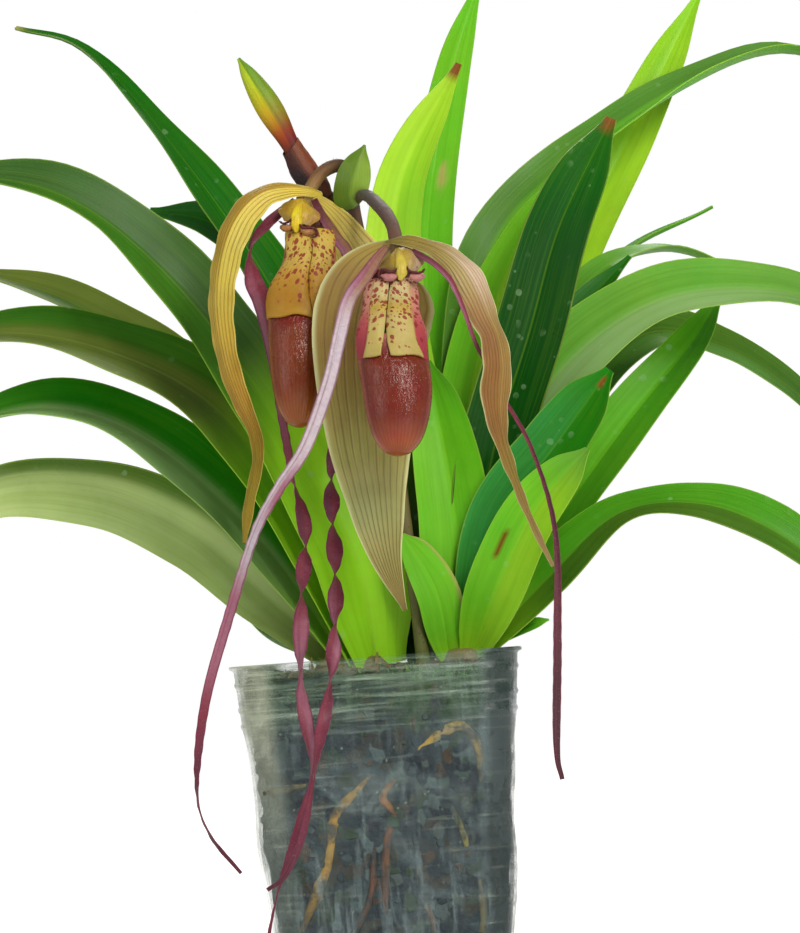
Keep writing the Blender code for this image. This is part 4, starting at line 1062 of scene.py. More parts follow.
sheath = new_body()
outer = rings_along(SHEATH_LINE, (2.9, 5.0, 5.4, 4.8, 4.1), 26, 36, ribs=(2, 0.15), lump=0.3)
inner = rings_along(SHEATH_LINE, (2.3, 4.4, 4.8, 4.2, 3.75), 26, 36, ribs=(2, 0.15), lump=0.25)
up = (Vector(SHEATH_LINE[2]) - Vector(SHEATH_LINE[1])).normalized()
for ring in outer[18:] + inner[18:]:
    for k, point in enumerate(ring):
        point += up * 1.9 * math.cos(2 * math.pi * (k / len(ring)) + 0.9)
loft(sheath, outer + inner[:16:-1], round_mark)
tinted(sheath, 0, two_sided(SHEATH_LIT, SHEATH_DARK, 0.35, 0.7))
place("bud_sheath", sheath, tissue("dry_bract_skin", rough=0.5, scale=220.0, amount=0.3,
                                   depth=0.25, fine=14.0), "bud_bract")

bud = new_body()
tube(bud, BUD_LINE, (3.1, 3.5, 4.3, 4.8, 4.6, 3.8, 2.5, 0.5), 46, 36, ribs=(3, 0.2))
tinted(bud, 0, two_sided(BUD_SHADED, BUD_LIT, 0.04, 0.2))
place("closed_bud", bud, tissue("bud_skin", rough=0.5, scale=60.0, amount=0.08, depth=0.04),
      "bud")


# The sepals: each bloom has a long dorsal one, channelled and arched over to one side, and two
# joined ones that hang behind the lip. They are thin, ribbed by nerves, and wavy at the edge.
SEPALS = {
    "front_dorsal_sepal": (
        ((14.6, -106.5, 260.6), (18.0, -109.5, 260.6), (21.6, -111.5, 260.2), (26, -113.5, 258.6),
         (31.4, -116, 256.0), (36.8, -118, 251.8), (41.0, -119.5, 246.2), (44.2, -120, 239),
         (46.6, -119.5, 231.5), (49.2, -118.5, 224), (50.0, -118, 215), (48.9, -117, 207),
         (48.3, -116, 200), (48.8, -115, 192), (50.4, -113.5, 184), (56, -109, 165),
         (63.3, -106, 146)),
        (0.8, 2.4, 3.1, 4.0, 5.4, 6.9, 7.2, 6.2, 5.6, 5.7, 6.2, 6.2, 5.2, 3.6, 2.9, 2.3, 1.9, 1.6,
         1.4, 1.2, 0.7),
        ((0.0, -0.9, 0.5), (0.4, -0.9, 0.35), (0.5, -0.85, 0.2), (0.5, -0.9, 0.0)),
        (-30, -26, -30, -26, -24, -20), 0.3,
        # The third tone of each half is lighter: a painted highlight where the sepal twists over.
        [(128, 112, 44), (148, 128, 64), (186, 162, 136), (150, 122, 72), (142, 112, 56),
         (134, 102, 48), (136, 116, 50), (146, 122, 68), (158, 128, 84)],
        [(128, 112, 44), (142, 124, 62), (156, 136, 84), (136, 100, 58), (126, 86, 40),
         (130, 90, 42), (136, 112, 50), (144, 120, 66), (158, 128, 84)], "sepal_tan"),
    "front_synsepal": (
        ((18.6, -101.4, 259.4), (14, -98, 253), (9.6, -95.5, 242), (6.4, -95, 229),
         (4.8, -95, 214), (4.4, -95.5, 200), (4.6, -97.5, 180), (6.7, -100, 155),
         (12.1, -102, 135)),
        (5.0, 16.5, 21.0, 20.6, 19.0, 17.6, 16.0, 14.6, 12.6, 10.3, 8.3, 5.7, 3.2, 0.8),
        ((0.0, -0.8, 0.6), (0.0, -1.0, 0.1), (0.0, -1.0, 0.0)), (-20, -6, 4, 14), 0.0,
        [(160, 140, 66), (154, 134, 64), (150, 128, 60), (148, 132, 66), (150, 144, 78),
         (142, 142, 82), (126, 118, 62), (122, 104, 52)],
        [(160, 140, 66), (142, 116, 58), (136, 112, 52), (142, 128, 64), (154, 150, 84),
         (146, 148, 90), (128, 120, 64), (122, 104, 52)], "sepal_tan"),
    "rear_dorsal_sepal": (
        ((-6.4, -63.0, 285.4), (-11.6, -65.6, 287.0), (-18.6, -66.8, 288.0), (-26.2, -68.5, 287.0),
         (-32.4, -70.5, 283.2), (-37.6, -72, 277), (-41.6, -73, 268.6), (-44.4, -73, 258.6),
         (-45.8, -72.5, 248.4), (-45.6, -71.5, 237), (-44.0, -70, 225), (-40.8, -68.5, 213.5),
         (-37.0, -67.5, 203), (-36.0, -67, 194), (-38, -67, 185), (-40.5, -67, 176),
         (-43, -64, 163.3)),
        (1.8, 3.2, 5.0, 6.8, 7.6, 7.3, 6.8, 6.4, 5.8, 5.2, 4.8, 4.4, 3.4, 2.8, 2.5, 2.3, 2.1, 0.8),
        ((0.2, -0.9, 0.5), (-0.3, -0.9, 0.3), (-0.3, -1.0, 0.1), (-0.3, -1.0, 0.0)),
        (-30, -42, -40, -34, -26), 0.75,
        [(200, 176, 60), (206, 184, 76), (196, 176, 74), (178, 156, 56), (168, 138, 46),
         (150, 116, 30), (140, 122, 30), (150, 124, 34)],
        # The second list, for the outer band, is darker and browner near the hinge: partly its own
        # colour and partly painted shade, as that band faces up and away from the light.
        [(190, 164, 50), (166, 132, 36), (164, 134, 42), (176, 150, 56), (166, 136, 46),
         (152, 116, 32), (142, 124, 30), (150, 124, 34)], "sepal_ochre"),
    "rear_synsepal": (
        ((-13.4, -59.4, 286.4), (-7, -57, 281), (-1, -55, 272), (4, -53.5, 260),
         (9, -53.5, 240), (10, -55, 211), (9, -57, 186), (7, -59, 168)),
        (3.6, 6.0, 8.2, 10.6, 13.5, 16.0, 16.6, 16.0, 14.0, 11.0, 8.0, 5.0, 2.5, 0.8),
        ((0.1, -0.8, 0.6), (0.0, -1.0, 0.0), (0.0, -1.0, 0.0)), (-14, 10), 0.0,
        [(190, 166, 70), (166, 150, 70), (160, 148, 74), (164, 152, 80), (160, 148, 74)],
        [(190, 166, 70), (160, 144, 64), (156, 146, 70), (164, 152, 80), (160, 148, 74)],
        "sepal_ochre"),
}


def sepal_skin(name, vein, edge, count):
    """Thin tissue with dark parallel nerves that branch a little, and a pale translucent edge."""
    made, tree, shader = finish(name)
    across, length, _ = form_of(tree)
    line = placed(tree, nerves, across, length, count, 0.42, 0.5)["Mask"]
    thin = placed(tree, nerves, across, length, count * 2.6, 0.5, 0.9)["Mask"]
    strand = placed(tree, fibres, across, length, 14.0, 6.0)["Value"]
    strength = ease(tree, strand, 0.3, 0.65, 0.15, 0.62)
    colour = blend(tree, times(tree, line, strength), tint_of(tree), vein)
    colour = blend(tree, times(tree, thin, 0.16), colour, vein)
    soft = placed(tree, drift, colour, object_place(tree), 75.0, 0.16, 0.012)
    rim = ease(tree, maths(tree, "ABSOLUTE", across), 0.88, 0.99, 0.0, 0.8)
    wire(tree, shader, Base_Color=blend(tree, rim, soft["Colour"], edge), Specular_IOR_Level=0.25,
         Roughness=ease(tree, soft["Height"], 0.3, 0.7, 0.36, 0.52),
         Normal=bump(tree, minus(tree, strand, line), 0.14))
    return made


SEPAL_SKINS = {
    "sepal_tan": sepal_skin("tan_sepal", srgb(104, 74, 34), srgb(196, 196, 140), 11.0),
    "sepal_ochre": sepal_skin("ochre_sepal", srgb(112, 78, 20), srgb(200, 184, 90), 9.0),
}
SEPAL_STATION, SHARP_MIDDLE, SOFT_MIDDLE = 1.3, 0.06, 0.2
for i, (label, (points, widths, faces, folds, crease, left, right,
                slot)) in enumerate(SEPALS.items()):
    body = new_body()
    joined = "syn" in label
    stations = round(sum(math.dist(a, b) for a, b in zip(points, points[1:])) / SEPAL_STATION)
    blade(body, points, widths, faces, folds, 0.7, stations, 44 if joined else 30, crease=crease,
          ruffle=(0.55, 13.0), ribs=(11 if joined else 7, 0.13), edge=0.5, seed=40 + i)
    soft = SHARP_MIDDLE if label == "rear_dorsal_sepal" else SOFT_MIDDLE
    tinted(body, 0, halves(left, right, soft))
    place(f"{label}_blade", body, SEPAL_SKINS[slot], label)


# The petals: very long, narrow ribbons that hang past the pot's rim and twist as they fall.
# They are lilac above, maroon below and at the edges, and matt with fine down; the front left
# one's lilac also carries a painted highlight.
TOWARD_VIEWER = (0.0, -1.0, 0.0)
LILAC, MAROON, WINE, TAN = (182, 168, 176), (116, 44, 58), (80, 28, 40), (132, 94, 68)
ROSE, PLUM, DARK_WINE = (142, 86, 104), (96, 36, 54), (62, 25, 34)
PETALS = {
    "front_petal_left": (
        ((15.0, -106.2, 258.9), (12, -112, 255), (7, -117, 248), (1, -120, 240),
         (-3, -121, 228), (-8, -121, 212), (-17, -119, 192), (-27, -116, 179),
         (-36, -114, 165), (-46, -112, 140), (-57, -112, 109), (-62, -112, 80),
         (-59, -112, 65), (-49, -112, 51)),
        (1.2, 2.4, 2.4, 2.4, 2.3, 2.2, 2.1, 1.9, 1.7, 1.6, 1.6, 1.2, 0.6),
        (0, -20, 10, -10, 20, 40, 20, 0, 30, 80, 10), 150,
        # Down its upper part this petal's lilac is partly its own colour and partly a painted
        # highlight.
        [TAN, TAN, LILAC, LILAC, LILAC, ROSE, LILAC, ROSE, ROSE, MAROON, PLUM, WINE, WINE],
        [TAN, ROSE, LILAC, LILAC, LILAC, LILAC, LILAC, ROSE, ROSE, MAROON, PLUM, WINE, WINE]),
    "front_petal_right": (
        ((20.6, -109.5, 257.6), (24.4, -114.5, 255), (30.1, -119.5, 250.4), (35, -122.2, 244.5),
         (37.5, -122.8, 238.5), (39.6, -122.0, 231.9), (41.6, -119.0, 225.0),
         (43.3, -114.4, 220.7), (46.0, -109.0, 215.9), (49.8, -105.5, 206.4), (59, -103, 187),
         (65, -103, 158), (63, -103, 121), (60, -103, 85), (61, -103, 74)),
        (1.0, 1.0, 0.75, 0.7, 0.7, 0.7, 0.8, 1.0, 1.35, 1.5, 1.4, 0.8), (0, 10, 0, 20, 0, -20, 0),
        150, [WINE, MAROON, MAROON, WINE, DARK_WINE, WINE, DARK_WINE, DARK_WINE],
        [WINE, ROSE, MAROON, MAROON, WINE, WINE, DARK_WINE, DARK_WINE]),
    "rear_petal_left": (
        ((-16.4, -62.6, 283.9), (-21, -64, 280.5), (-27, -68, 275), (-33, -71, 267),
         (-33, -70, 256), (-30.6, -67, 248.6), (-29.2, -62, 236.6), (-28.0, -60, 224.2),
         (-27.0, -60, 211.6), (-25.4, -64, 198.6), (-23.8, -69, 185.7), (-21, -70, 166),
         (-24, -71, 140), (-26, -73, 110), (-24, -74, 84), (-30, -75, 63), (-39, -77, 42),
         (-45, -78, 20)),
        (1.2, 2.8, 3.5, 2.2, 1.6, 1.8, 2.4, 2.9, 2.9, 2.7, 2.4, 2.1, 1.7, 1.2, 0.7),
        (0, 60, 180, 190, 200, 235, 375, 610, 760, 880, 985, 1080, 1160, 1220), 210,
        [WINE, MAROON, ROSE, ROSE, MAROON, MAROON, MAROON, ROSE, MAROON, PLUM, MAROON, PLUM],
        [WINE, MAROON, MAROON, ROSE, MAROON, PLUM, MAROON, ROSE, ROSE, MAROON, PLUM, PLUM]),
    "rear_petal_right": (
        ((-9.6, -63.4, 283.6), (-7, -68, 277), (-3, -70, 269), (1, -70, 262), (2, -68, 246),
         (-2, -66, 225), (-7, -66, 204), (-11, -70, 174), (-11, -72, 155), (-12, -73, 139),
         (-14, -75, 122), (-17, -78, 106), (-21, -82, 91), (-28, -85, 63), (-35, -87, 48),
         (-42, -88, 43)),
        (1.2, 2.0, 2.2, 2.2, 2.3, 2.7, 3.0, 3.0, 2.8, 2.5, 2.2, 1.7, 1.2, 0.7),
        (0, 0, 20, 0, 40, 180, 400, 600, 800, 980, 1100, 1180, 1240, 1260), 230,
        [WINE, TAN, ROSE, MAROON, PLUM, MAROON, MAROON, MAROON, PLUM, MAROON, PLUM, DARK_WINE],
        [WINE, ROSE, LILAC, MAROON, PLUM, PLUM, MAROON, ROSE, MAROON, MAROON, PLUM, DARK_WINE]),
}
petal_skin, tree, shader = finish("downy_petal")
across, length, _ = form_of(tree)
spot = object_place(tree)
strand = placed(tree, fibres, across, length, 5.0, 9.0)["Value"]
off_line = maths(tree, "ABSOLUTE", minus(tree, across, 0.25))
stripe = times(tree, ease(tree, off_line, 0.0, 0.3, 0.6, 0.0), ease(tree, strand, 0.35, 0.6))
colour = blend(tree, stripe, tint_of(tree), srgb(112, 44, 68))
from_middle = maths(tree, "ABSOLUTE", across)
colour = blend(tree, ease(tree, from_middle, 0.66, 0.92, 0.0, 0.75), colour, srgb(104, 36, 62))
soft = placed(tree, drift, colour, spot, 700.0, 0.2, 0.012)
# Fine pale grain over the petals: partly relief of the down and partly its painted sparkle of light.
down_grain_and_glint = placed(tree, flecks, spot, 1500.0, 0.4, 0.35)["Mask"]
colour = blend(tree, times(tree, down_grain_and_glint, 0.22), soft["Colour"], srgb(150, 120, 128), "SCREEN")
wire(tree, shader, Base_Color=colour, Roughness=ease(tree, soft["Height"], 0.3, 0.7, 0.42, 0.6),
     Specular_IOR_Level=0.3, Normal=bump(tree, plus(tree, soft["Height"], down_grain_and_glint), 0.12))
for i, (label, (points, widths, twists, stations, left, right)) in enumerate(PETALS.items()):
    body = new_body()
    blade(body, points, widths, [TOWARD_VIEWER] * 2, (14, -12, 16, -10), 0.6, stations, 10,
          twists=twists, ruffle=(0.22, 6.0), edge=0.5, seed=60 + i)
    tinted(body, 0, halves(left, right, 0.3))
    place(f"{label}_ribbon", body, petal_skin, label)


# The lips: each is one fleshy sheet, a closed glossy pouch below and an open tube above, whose
# sides fold in towards the viewer as two spotted lobes that almost meet in a slit.
LIP_LENGTH, COLUMN_LENGTH = 72.0, 15.0


class LipFrame:
    """Places lip points given as across, forward and down from the hub."""

    def __init__(self, hub, foot, width_scale, stray):
        self.hub = Vector(hub)
        down = Vector(foot) - self.hub
        self.stretch = (down.length - COLUMN_LENGTH) / (LIP_LENGTH - COLUMN_LENGTH)
        self.scale = width_scale
        self.down = down.normalized()
        viewer = Vector(TOWARD_VIEWER)
        self.forward = (viewer - self.down * viewer.dot(self.down)).normalized()
        self.across = self.forward.cross(self.down)
        if self.across.x < 0:
            self.across.negate()
        self.stray = stray

    def at(self, across, forward, down):
        beside = (self.across * across + self.forward * forward) * self.scale
        below = min(down, COLUMN_LENGTH) + max(down - COLUMN_LENGTH, 0.0) * self.stretch
        return self.hub + beside + self.down * below


# The last list is how far the lip strays to one side, read from its hinge down to its toe.
LIPS = {
    "front": LipFrame(FRONT_HUB, (13.6, -116.0, 184.5), 1.0,
                      (0.0, -1.0, -2.0, -2.3, -2.2, -2.0, -1.1, -0.2, 0.0, 0.0, 0.0)),
    "rear": LipFrame(REAR_HUB, (-20.0, -73.0, 200.0), 0.95,
                     (0.0, 0.9, 2.4, 2.7, 0.6, -0.6, -0.2, 0.0, 0.0, 0.0, 0.0)),
}
# How far down each ring of the lip is, its half width, half depth, and where its back lies.
LIP_RINGS = ((3.3, 2.0, 1.4, -0.2), (8, 5.5, 3.0, 0.0), (12, 7.8, 4.4, 0.1), (15, 9.0, 5.2, 0.2),
             (20, 9.6, 6.3, 0.2), (24, 9.8, 7.3, 0.1), (27, 10.6, 8.1, -0.2),
             (31, 11.9, 8.9, -0.8), (36, 12.2, 9.6, -1.6), (40.5, 12.0, 9.8, -2.2),
             (45, 12.0, 10.6, -2.4), (52, 11.6, 10.6, -2.1), (60, 10.3, 9.6, -1.2),
             (66.5, 8.0, 7.4, 0.8), (70.4, 4.6, 4.2, 3.8), (71.6, 1.6, 1.6, 6.4))
RIM_RING, LAST_RING = 7.6, len(LIP_RINGS) - 1
LIP_STEPS, LIP_SIDES, OPEN_HALF = 5, 72, 80.0
# The pouch's colours: up its back, along its rim, on its belly and at its toe.
POUCH_TONES = {"front": ((164, 96, 88), (176, 96, 96), (104, 32, 14), (142, 68, 34)),
               "rear": ((160, 100, 56), (176, 116, 80), (112, 48, 14), (140, 76, 26))}
# A band of painted shade just under the foot of the lobes, where they overhang the pouch.
SHADE_UNDER_LOBES = srgb(110, 34, 24)


def lip_point(lip, place_along, angle, proud=0.0):
    """A point of the sheet; the angle is from the front, positive towards +X."""
    down, half, deep, back = along(LIP_RINGS, place_along)
    a = math.radians(angle)
    forward = back + deep + (deep + proud) * math.cos(a)
    across = (half + proud) * math.sin(a) + along(lip.stray, down / LIP_LENGTH)
    return lip.at(across, forward, down)


def pouch_tone(label):
    """Red brown, with painted shade just under the lobes, pinker up the back and paler at the toe.
    """
    neck, rim, belly, toe = shades(POUCH_TONES[label])
    tones = [neck] * 6 + [SHADE_UNDER_LOBES, belly, belly, toe, toe]

    def shade(side, face, t):
        return mixed(along(tones, t), rim, eased((abs(side) - 0.86) / 0.14) * (1 - t) * 1.5)
    return shade


def fleshed(piece, thickness):
    """Give a sheet its thickness."""
    wall = piece.modifiers.new("wall", "SOLIDIFY")
    wall.thickness, wall.offset, wall.use_even_offset = thickness * MM, -1.0, True


pouch_skin, tree, shader = finish("glossy_pouch")
side, _, length = form_of(tree)
spot = object_place(tree)
lines = placed(tree, nerves, side, length, 14.0, 0.8, 1.2)["Mask"]
colour = blend(tree, times(tree, lines, 0.3), tint_of(tree), srgb(84, 26, 26))
soft = placed(tree, drift, colour, spot, 130.0, 0.2, 0.012)
wrinkle = clouds(tree, scaled(tree, spot, 700, 700, 330), warp=1.2)["Fac"]
net = maths(tree, "ABSOLUTE", times(tree, minus(tree, wrinkle, 0.5), 5.0))
relief = times(tree, minus(tree, 1.0, net), ease(tree, length, 0.66, 0.92, 1.0, 0.12))
wire(tree, shader, Base_Color=soft["Colour"], Roughness=ease(tree, wrinkle, 0.3, 0.7, 0.16, 0.26),
     Specular_IOR_Level=0.34, Normal=bump(tree, relief, 0.11))

# Read down the lobes: half the gap of the slit, how far the slit strays to one side, and how
# far the spotted face of the lobes reaches across before it turns into their pink sides.
SLIT_GAP = {"front": (0.8, 0.12, 0.1, 0.1, 0.15, 0.6, 1.5),
            "rear": (0.5, 0.1, 0.1, 0.1, 0.1, 0.15)}
SLIT_STRAY = {"front": (-0.1, -0.7, -1.1, -1.5, -1.8, -2.1, -2.4),
              "rear": (0.4, 0.9, 1.4, 2.2, 3.6, 4.6)}
FACE_REACH = {"front": (5.6, 6.0, 6.6, 6.9, 7.2, 8.0, 9.6),
              "rear": (9.6, 8.8, 8.2, 9.2, 11.0, 12.0, 12.0)}
# The tones down the face of the lobes, and down their sides.
LOBE_TONES = {
    "front": (((176, 142, 108), (176, 162, 110), (164, 138, 62), (170, 152, 88), (164, 146, 80),
               (160, 142, 76)), ((178, 132, 104), (178, 116, 98), (158, 66, 68), (140, 42, 52))),
    "rear": (((184, 150, 54), (180, 154, 70), (174, 146, 66), (164, 126, 46), (152, 108, 24),
              (158, 116, 32)), ((170, 112, 60), (160, 98, 60), (146, 80, 52), (128, 58, 40))),
}
LOBE_ROWS, LOBE_COLUMNS = 46, 34
LOBE_TOP, LOBE_FOOT = 2.55 / LAST_RING, 9.15 / LAST_RING


def lobe_tone(label):
    """Cream or ochre on the face, pink along the edges and deep rose down the sides."""
    face, sides = [shades(tones) for tones in LOBE_TONES[label]]

    def shade(across, down, t):
        past = abs(across * 10) - along(FACE_REACH[label], t)
        return mixed(along(face, t), along(sides, t), eased(past / (3.0 - 2.0 * t) + 0.5))
    return shade


def lobes_skin(name, *kept):
    """Waxy, with maroon spots; kept says, from hinge to foot, how many of them there are."""
    made, tree, shader = finish(name)
    across, down, t = form_of(tree)
    spot = object_place(tree)
    stops = [(i / (len(kept) - 1), (share, share, share)) for i, share in enumerate(kept)]
    share = channels(tree, graded(tree, t, *stops))["Red"]
    sway = clouds(tree, stretched(tree, across, down), 4.0)["Fac"]
    lean = times(tree, maths(tree, "ABSOLUTE", across), 0.5)
    row = plus(tree, times(tree, minus(tree, down, lean), 0.8), times(tree, sway, 0.1))
    flat = stretched(tree, across, row)
    large = placed(tree, dots, flat, 5.2, 0.44, share)["Mask"]
    small = placed(tree, dots, flat, 10.0, 0.38, times(tree, share, 0.5))["Mask"]
    soft = placed(tree, drift, tint_of(tree), spot, 220.0, 0.14, 0.01)
    velvet = clouds(tree, spot, 1300.0)["Fac"]
    colour = blend(tree, times(tree, large, 0.9), soft["Colour"], srgb(124, 34, 26))
    colour = blend(tree, times(tree, small, 0.8), colour, srgb(134, 44, 38))
    wire(tree, shader, Base_Color=colour, Roughness=ease(tree, velvet, 0.3, 0.7, 0.42, 0.58),
         Specular_IOR_Level=0.25,
         Normal=bump(tree, plus(tree, velvet, times(tree, large, 0.8)), 0.14))
    return made


LOBE_SKINS = {"front": lobes_skin("cream_lobes", 220, 226, 232, 190, 120, 70),
              "rear": lobes_skin("ochre_lobes", 226, 232, 226, 200, 100, 0)}
for label, lip in LIPS.items():
    body = new_body()
    rows = LAST_RING * LIP_STEPS
    rings = []
    for row in range(rows + 1):
        rings.append([lip_point(lip, row / rows, 360 * k / LIP_SIDES) for k in range(LIP_SIDES)])
    loft(body, rings, lambda t, i: (math.sin(2 * math.pi * i), math.cos(2 * math.pi * i), t),
         fill=False)
    form = body.verts.layers.float_vector["form"]
    rim = RIM_RING / LAST_RING
    cut = math.cos(math.radians(OPEN_HALF + 0.5))
    opening = [face for face in body.faces
               if max(vert[form].z for vert in face.verts) < rim + 1e-4
               and min(vert[form].y for vert in face.verts) > cut]
    bmesh.ops.delete(body, geom=opening, context="FACES")
    toe = [edge for edge in body.edges if edge.is_boundary
           and min(vert[form].z for vert in edge.verts) > 0.999]
    centre = bmesh.ops.contextual_create(body, geom=toe)["faces"]
    bmesh.ops.poke(body, faces=centre)
    for vert in body.verts:
        if vert[form].z == 0 and vert[form].length == 0:
            vert[form] = (0, 0, 1)
    tinted(body, 0, pouch_tone(label))
    pouch = place(f"{label}_pouch", body, pouch_skin, f"{label}_lip_pouch", 70.0)
    fleshed(pouch, 0.9)

    body = new_body()
    lobe_form = body.verts.layers.float_vector["form"]
    for hand in (-1, 1):
        made = bmesh.ops.create_grid(body, x_segments=LOBE_COLUMNS, y_segments=LOBE_ROWS, size=1.0)
        for vert in made["verts"]:
            u, t = (vert.co.x + 1) / 2, (1 - vert.co.y) / 2
            place_along = LOBE_TOP + (LOBE_FOOT - LOBE_TOP) * t
            half = along(LIP_RINGS, place_along)[1]
            edge = along(SLIT_STRAY[label], t) + hand * along(SLIT_GAP[label], t)
            start = math.degrees(math.asin(max(-1, min(1, edge / half))))
            angle = start + (hand * (OPEN_HALF + 3) - start) * u
            across = half * math.sin(math.radians(angle))
            face = 1 - eased((abs(across) - along(FACE_REACH[label], t)) / 1.0 + 0.5)
            proud = 0.25 + (0.5 + 0.5 * eased((t - 0.55) / 0.2)) * face
            proud -= 1.1 * math.exp(-(across - edge) ** 2 / 1.2) * (1 - eased((t - 0.75) / 0.2))
            proud -= 0.8 * eased((u - 0.85) / 0.15)
            drop = 0.08 * math.sin(across * 0.55 + hand) * eased((t - 0.85) / 0.15) / LAST_RING
            vert.co = lip_point(lip, place_along + drop, angle, proud)
            vert[lobe_form] = (across / 10, place_along * LAST_RING / 2, t)
    tinted(body, 0, lobe_tone(label))
    lobes = place(f"{label}_folded_lobes", body, LOBE_SKINS[label], f"{label}_lip_lobes",
                  70.0)
    fleshed(lobes, 0.8)


# The columns: the bloom's fleshy centre, a yellow ridge with a hollow on each side, two pink
# pads below, and two arms above them that curl out and carry a dark fringe of hairs.
SHIELD = ((0, 5.4, 1.6), (0.1, 8.8, 3.4), (0.3, 11.2, 6.0), (0.4, 12.3, 9.0), (0.4, 12.2, 12.2))
SHIELD_HALF = (2.0, 5.4, 7.8, 8.8, 8.8, 7.6, 5.4)
HOOD_STRAY = {"front": 1.4, "rear": -2.6}
RIDGE = {"front": ((0.3, 8.6, 3.8), (0.8, 10.9, 6.4), (1.3, 12.0, 9.2), (1.4, 12.4, 12.0),
                   (0.9, 12.2, 15.2)),
         "rear": ((-0.6, 8.6, 3.8), (-1.6, 10.9, 6.4), (-2.2, 12.0, 9.2), (-2.4, 12.4, 12.2),
                  (-2.4, 12.0, 15.6))}
# Each arm runs out from the ridge, dips, and curls back under at its end.
ARMS = {"front": (((0.4, 12.9, 10.4), (-0.4, 13.2, 11.9), (-2.5, 13.2, 12.5), (-4.6, 12.7, 11.5),
                   (-6.0, 12.0, 12.0), (-6.0, 11.8, 13.8), (-4.2, 12.3, 14.7)),
                  ((2.9, 12.9, 10.4), (3.9, 13.2, 12.0), (5.9, 13.1, 12.8), (8.0, 12.3, 12.4),
                   (9.2, 11.3, 10.9))),
        "rear": (((-3.4, 12.9, 10.6), (-5.0, 13.1, 12.1), (-7.2, 12.6, 12.8), (-8.8, 11.6, 11.6)),
                 ((-1.6, 13.0, 11.4), (-1.2, 13.2, 13.4), (0.6, 13.3, 14.5), (3.0, 13.0, 14.2),
                  (5.2, 12.5, 15.0), (5.2, 12.3, 16.6), (3.4, 12.7, 17.2)))}
PADS = {"front": (((-5.4, 11.0, 13.4), (-3.0, 12.0, 14.1), (-0.2, 12.2, 13.6)),
                  ((4.2, 12.2, 13.6), (6.6, 11.9, 14.2), (9.0, 10.6, 13.2))),
        "rear": (((-8.2, 10.8, 13.6), (-6.2, 11.8, 14.2), (-4.2, 12.0, 13.8)),
                 ((-0.6, 12.2, 14.8), (1.8, 12.0, 15.6), (4.4, 11.2, 15.4)))}
COLUMN_TONES = {
    "front": ((104, 82, 22), (158, 132, 42), (188, 170, 64), (168, 110, 106), (150, 122, 92)),
    "rear": ((130, 100, 24), (176, 144, 30), (204, 178, 30), (150, 102, 58), (160, 124, 56)),
}
column_skin = tissue("fleshy_column", rough=0.36, scale=420.0, amount=0.3, hue=0.02, depth=0.12,
                     speck=((96, 62, 30), 620.0, 0.3))
FRINGE_STATIONS = 140
for label, lip in LIPS.items():
    edge, middle, crest, pad, cheek = shades(COLUMN_TONES[label])
    body = new_body()

    def fleshy(points, radii, wide, tone):
        first = len(body.verts)
        tube(body, [lip.at(*point) for point in points], radii, 26, 20, wide=wide, lump=0.15)
        tinted(body, first, tone)

    def hood_tone(s, t, upper):
        return mixed(middle, cheek if s < 0 else edge, eased((abs(s) - 0.15) / 0.6))

    line = [lip.at(x + HOOD_STRAY[label] * k / 4, forward, below)
            for k, (x, forward, below) in enumerate(SHIELD)]
    blade(body, line, [half * lip.scale for half in SHIELD_HALF], [TOWARD_VIEWER] * 2,
          (-40, -36, -30), 1.3, 26, 20, crease=0.3, ruffle=(0.35, 5.0), ribs=(5, 0.18), seed=9)
    tinted(body, 0, hood_tone)
    fleshy(RIDGE[label], (0.5, 1.1, 1.5, 1.8, 1.7, 0.5), 1.2, lengthwise([middle, crest, crest]))
    for points in PADS[label]:
        fleshy(points, (0.8, 1.35, 1.4, 0.7), 1.0, pad)
    fringe = []
    for points in ARMS[label]:
        fleshy(points, (0.45, 0.5, 0.45, 0.4, 0.25), 1.0, srgb(84, 28, 30))
        route = route_through([lip.at(*point) for point in points], FRINGE_STATIONS)
        for spot in route[4:-1]:
            ray = lip.down * chance.uniform(-0.3, 1.0) + lip.forward * chance.uniform(0.0, 0.9)
            ray += lip.across * chance.uniform(-0.6, 0.6)
            fringe.append((spot + ray.normalized() * 0.3, ray))
    place(f"{label}_column_body", body, column_skin, f"{label}_column")
    hairs(f"{label}_fringe", fringe, 0.05, 0.75, (62, 20, 26), f"{label}_column")


# The studio: a pale floor that runs out of sight, a plain white surround, and three soft lights.
floor_body = bmesh.new()
bmesh.ops.create_grid(floor_body, x_segments=8, y_segments=8, size=4.0)
floor_mesh = bpy.data.meshes.new("floor")
floor_body.to_mesh(floor_mesh)
floor_body.free()
paper, tree, shader = finish("pale_paper")
soft = placed(tree, drift, srgb(248, 248, 246), object_place(tree), 6.0, 0.01, 0.0)
seen = node(tree, "ShaderNodeLightPath").outputs["Is Camera Ray"]
wire(tree, shader, Base_Color=soft["Colour"], Roughness=0.8, Emission_Strength=1.0,
     Emission_Color=blend(tree, seen, srgb(40, 40, 40), srgb(214, 214, 212)))
floor_mesh.materials.append(paper)
floor = bpy.data.objects.new("floor", floor_mesh)
bpy.context.scene.collection.objects.link(floor)

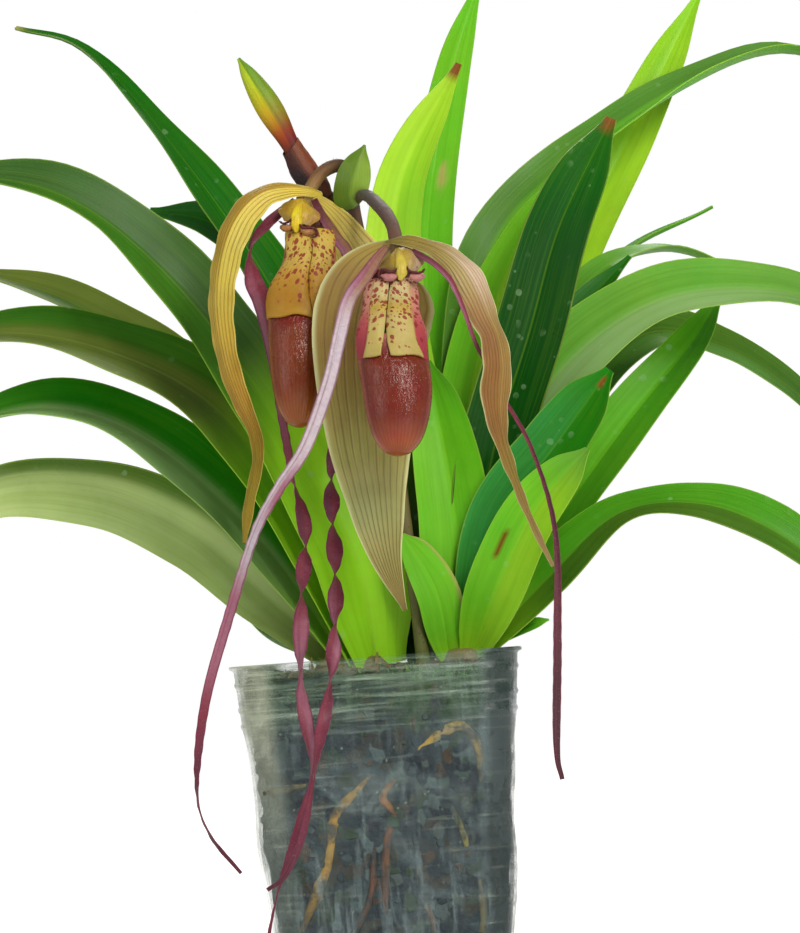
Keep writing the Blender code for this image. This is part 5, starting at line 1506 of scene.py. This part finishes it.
world = bpy.data.worlds.new("surround")
bpy.context.scene.world = world
world.use_nodes = True
sky = world.node_tree.nodes["Background"]
seen = node(world.node_tree, "ShaderNodeLightPath").outputs["Is Camera Ray"]
sky.inputs["Color"].default_value = (1.0, 1.0, 1.0, 1.0)
world.node_tree.links.new(ease(world.node_tree, seen, 0.0, 1.0, 0.40, 1.0),
                          sky.inputs["Strength"])


def lamp(name, spot, aim, width, height, power, tone=(1.0, 1.0, 1.0)):
    light = bpy.data.lights.new(name, "AREA")
    light.shape, light.size, light.size_y = "RECTANGLE", width, height
    light.energy, light.color = power, tone
    holder = bpy.data.objects.new(name, light)
    holder.location = spot
    holder.rotation_euler = (Vector(aim) - Vector(spot)).to_track_quat("-Z", "Y").to_euler()
    bpy.context.scene.collection.objects.link(holder)


lamp("window", (0.55, -1.2, 1.0), (0, -0.05, 0.22), 0.4, 0.7, 15.5, (1.0, 0.97, 0.9))
lamp("low_strip", (0.76, -1.15, 0.32), (0, -0.1, 0.22), 0.05, 0.3, 2.6)
lamp("left_fill", (-1.2, -0.8, 0.6), (0, 0, 0.2), 0.9, 0.9, 4.5)
lamp("back_light", (0.1, 1.1, 1.2), (0, 0, 0.2), 0.9, 0.6, 7.0, (1.0, 0.98, 0.92))

# The camera stands low, a metre in front, turned up a little and not quite level. Its focal
# length and the picture's width are in pixels.
PITCH, ROLL, FOCAL, PICTURE = math.radians(3.66), math.radians(-4.2), 2933, 800
view = bpy.data.cameras.new("view")
view.sensor_fit, view.sensor_width, view.lens = "HORIZONTAL", 36.0, FOCAL / PICTURE * 36
view.clip_start, view.clip_end = 0.05, 30.0
camera = bpy.data.objects.new("camera", view)
ahead = Vector((0, math.cos(PITCH), math.sin(PITCH)))
level, upright = Vector((1, 0, 0)), Vector((0, -math.sin(PITCH), math.cos(PITCH)))
right_axis = level * math.cos(ROLL) + upright * math.sin(ROLL)
up_axis = upright * math.cos(ROLL) - level * math.sin(ROLL)
stand = Matrix((right_axis, up_axis, -ahead)).transposed().to_4x4()
stand.translation = (0.014, -1.1, 0.12)
camera.matrix_world = stand
bpy.context.scene.collection.objects.link(camera)
bpy.context.scene.camera = camera
bpy.context.scene.view_settings.view_transform = "Standard"

bpy.context.view_layer.update()
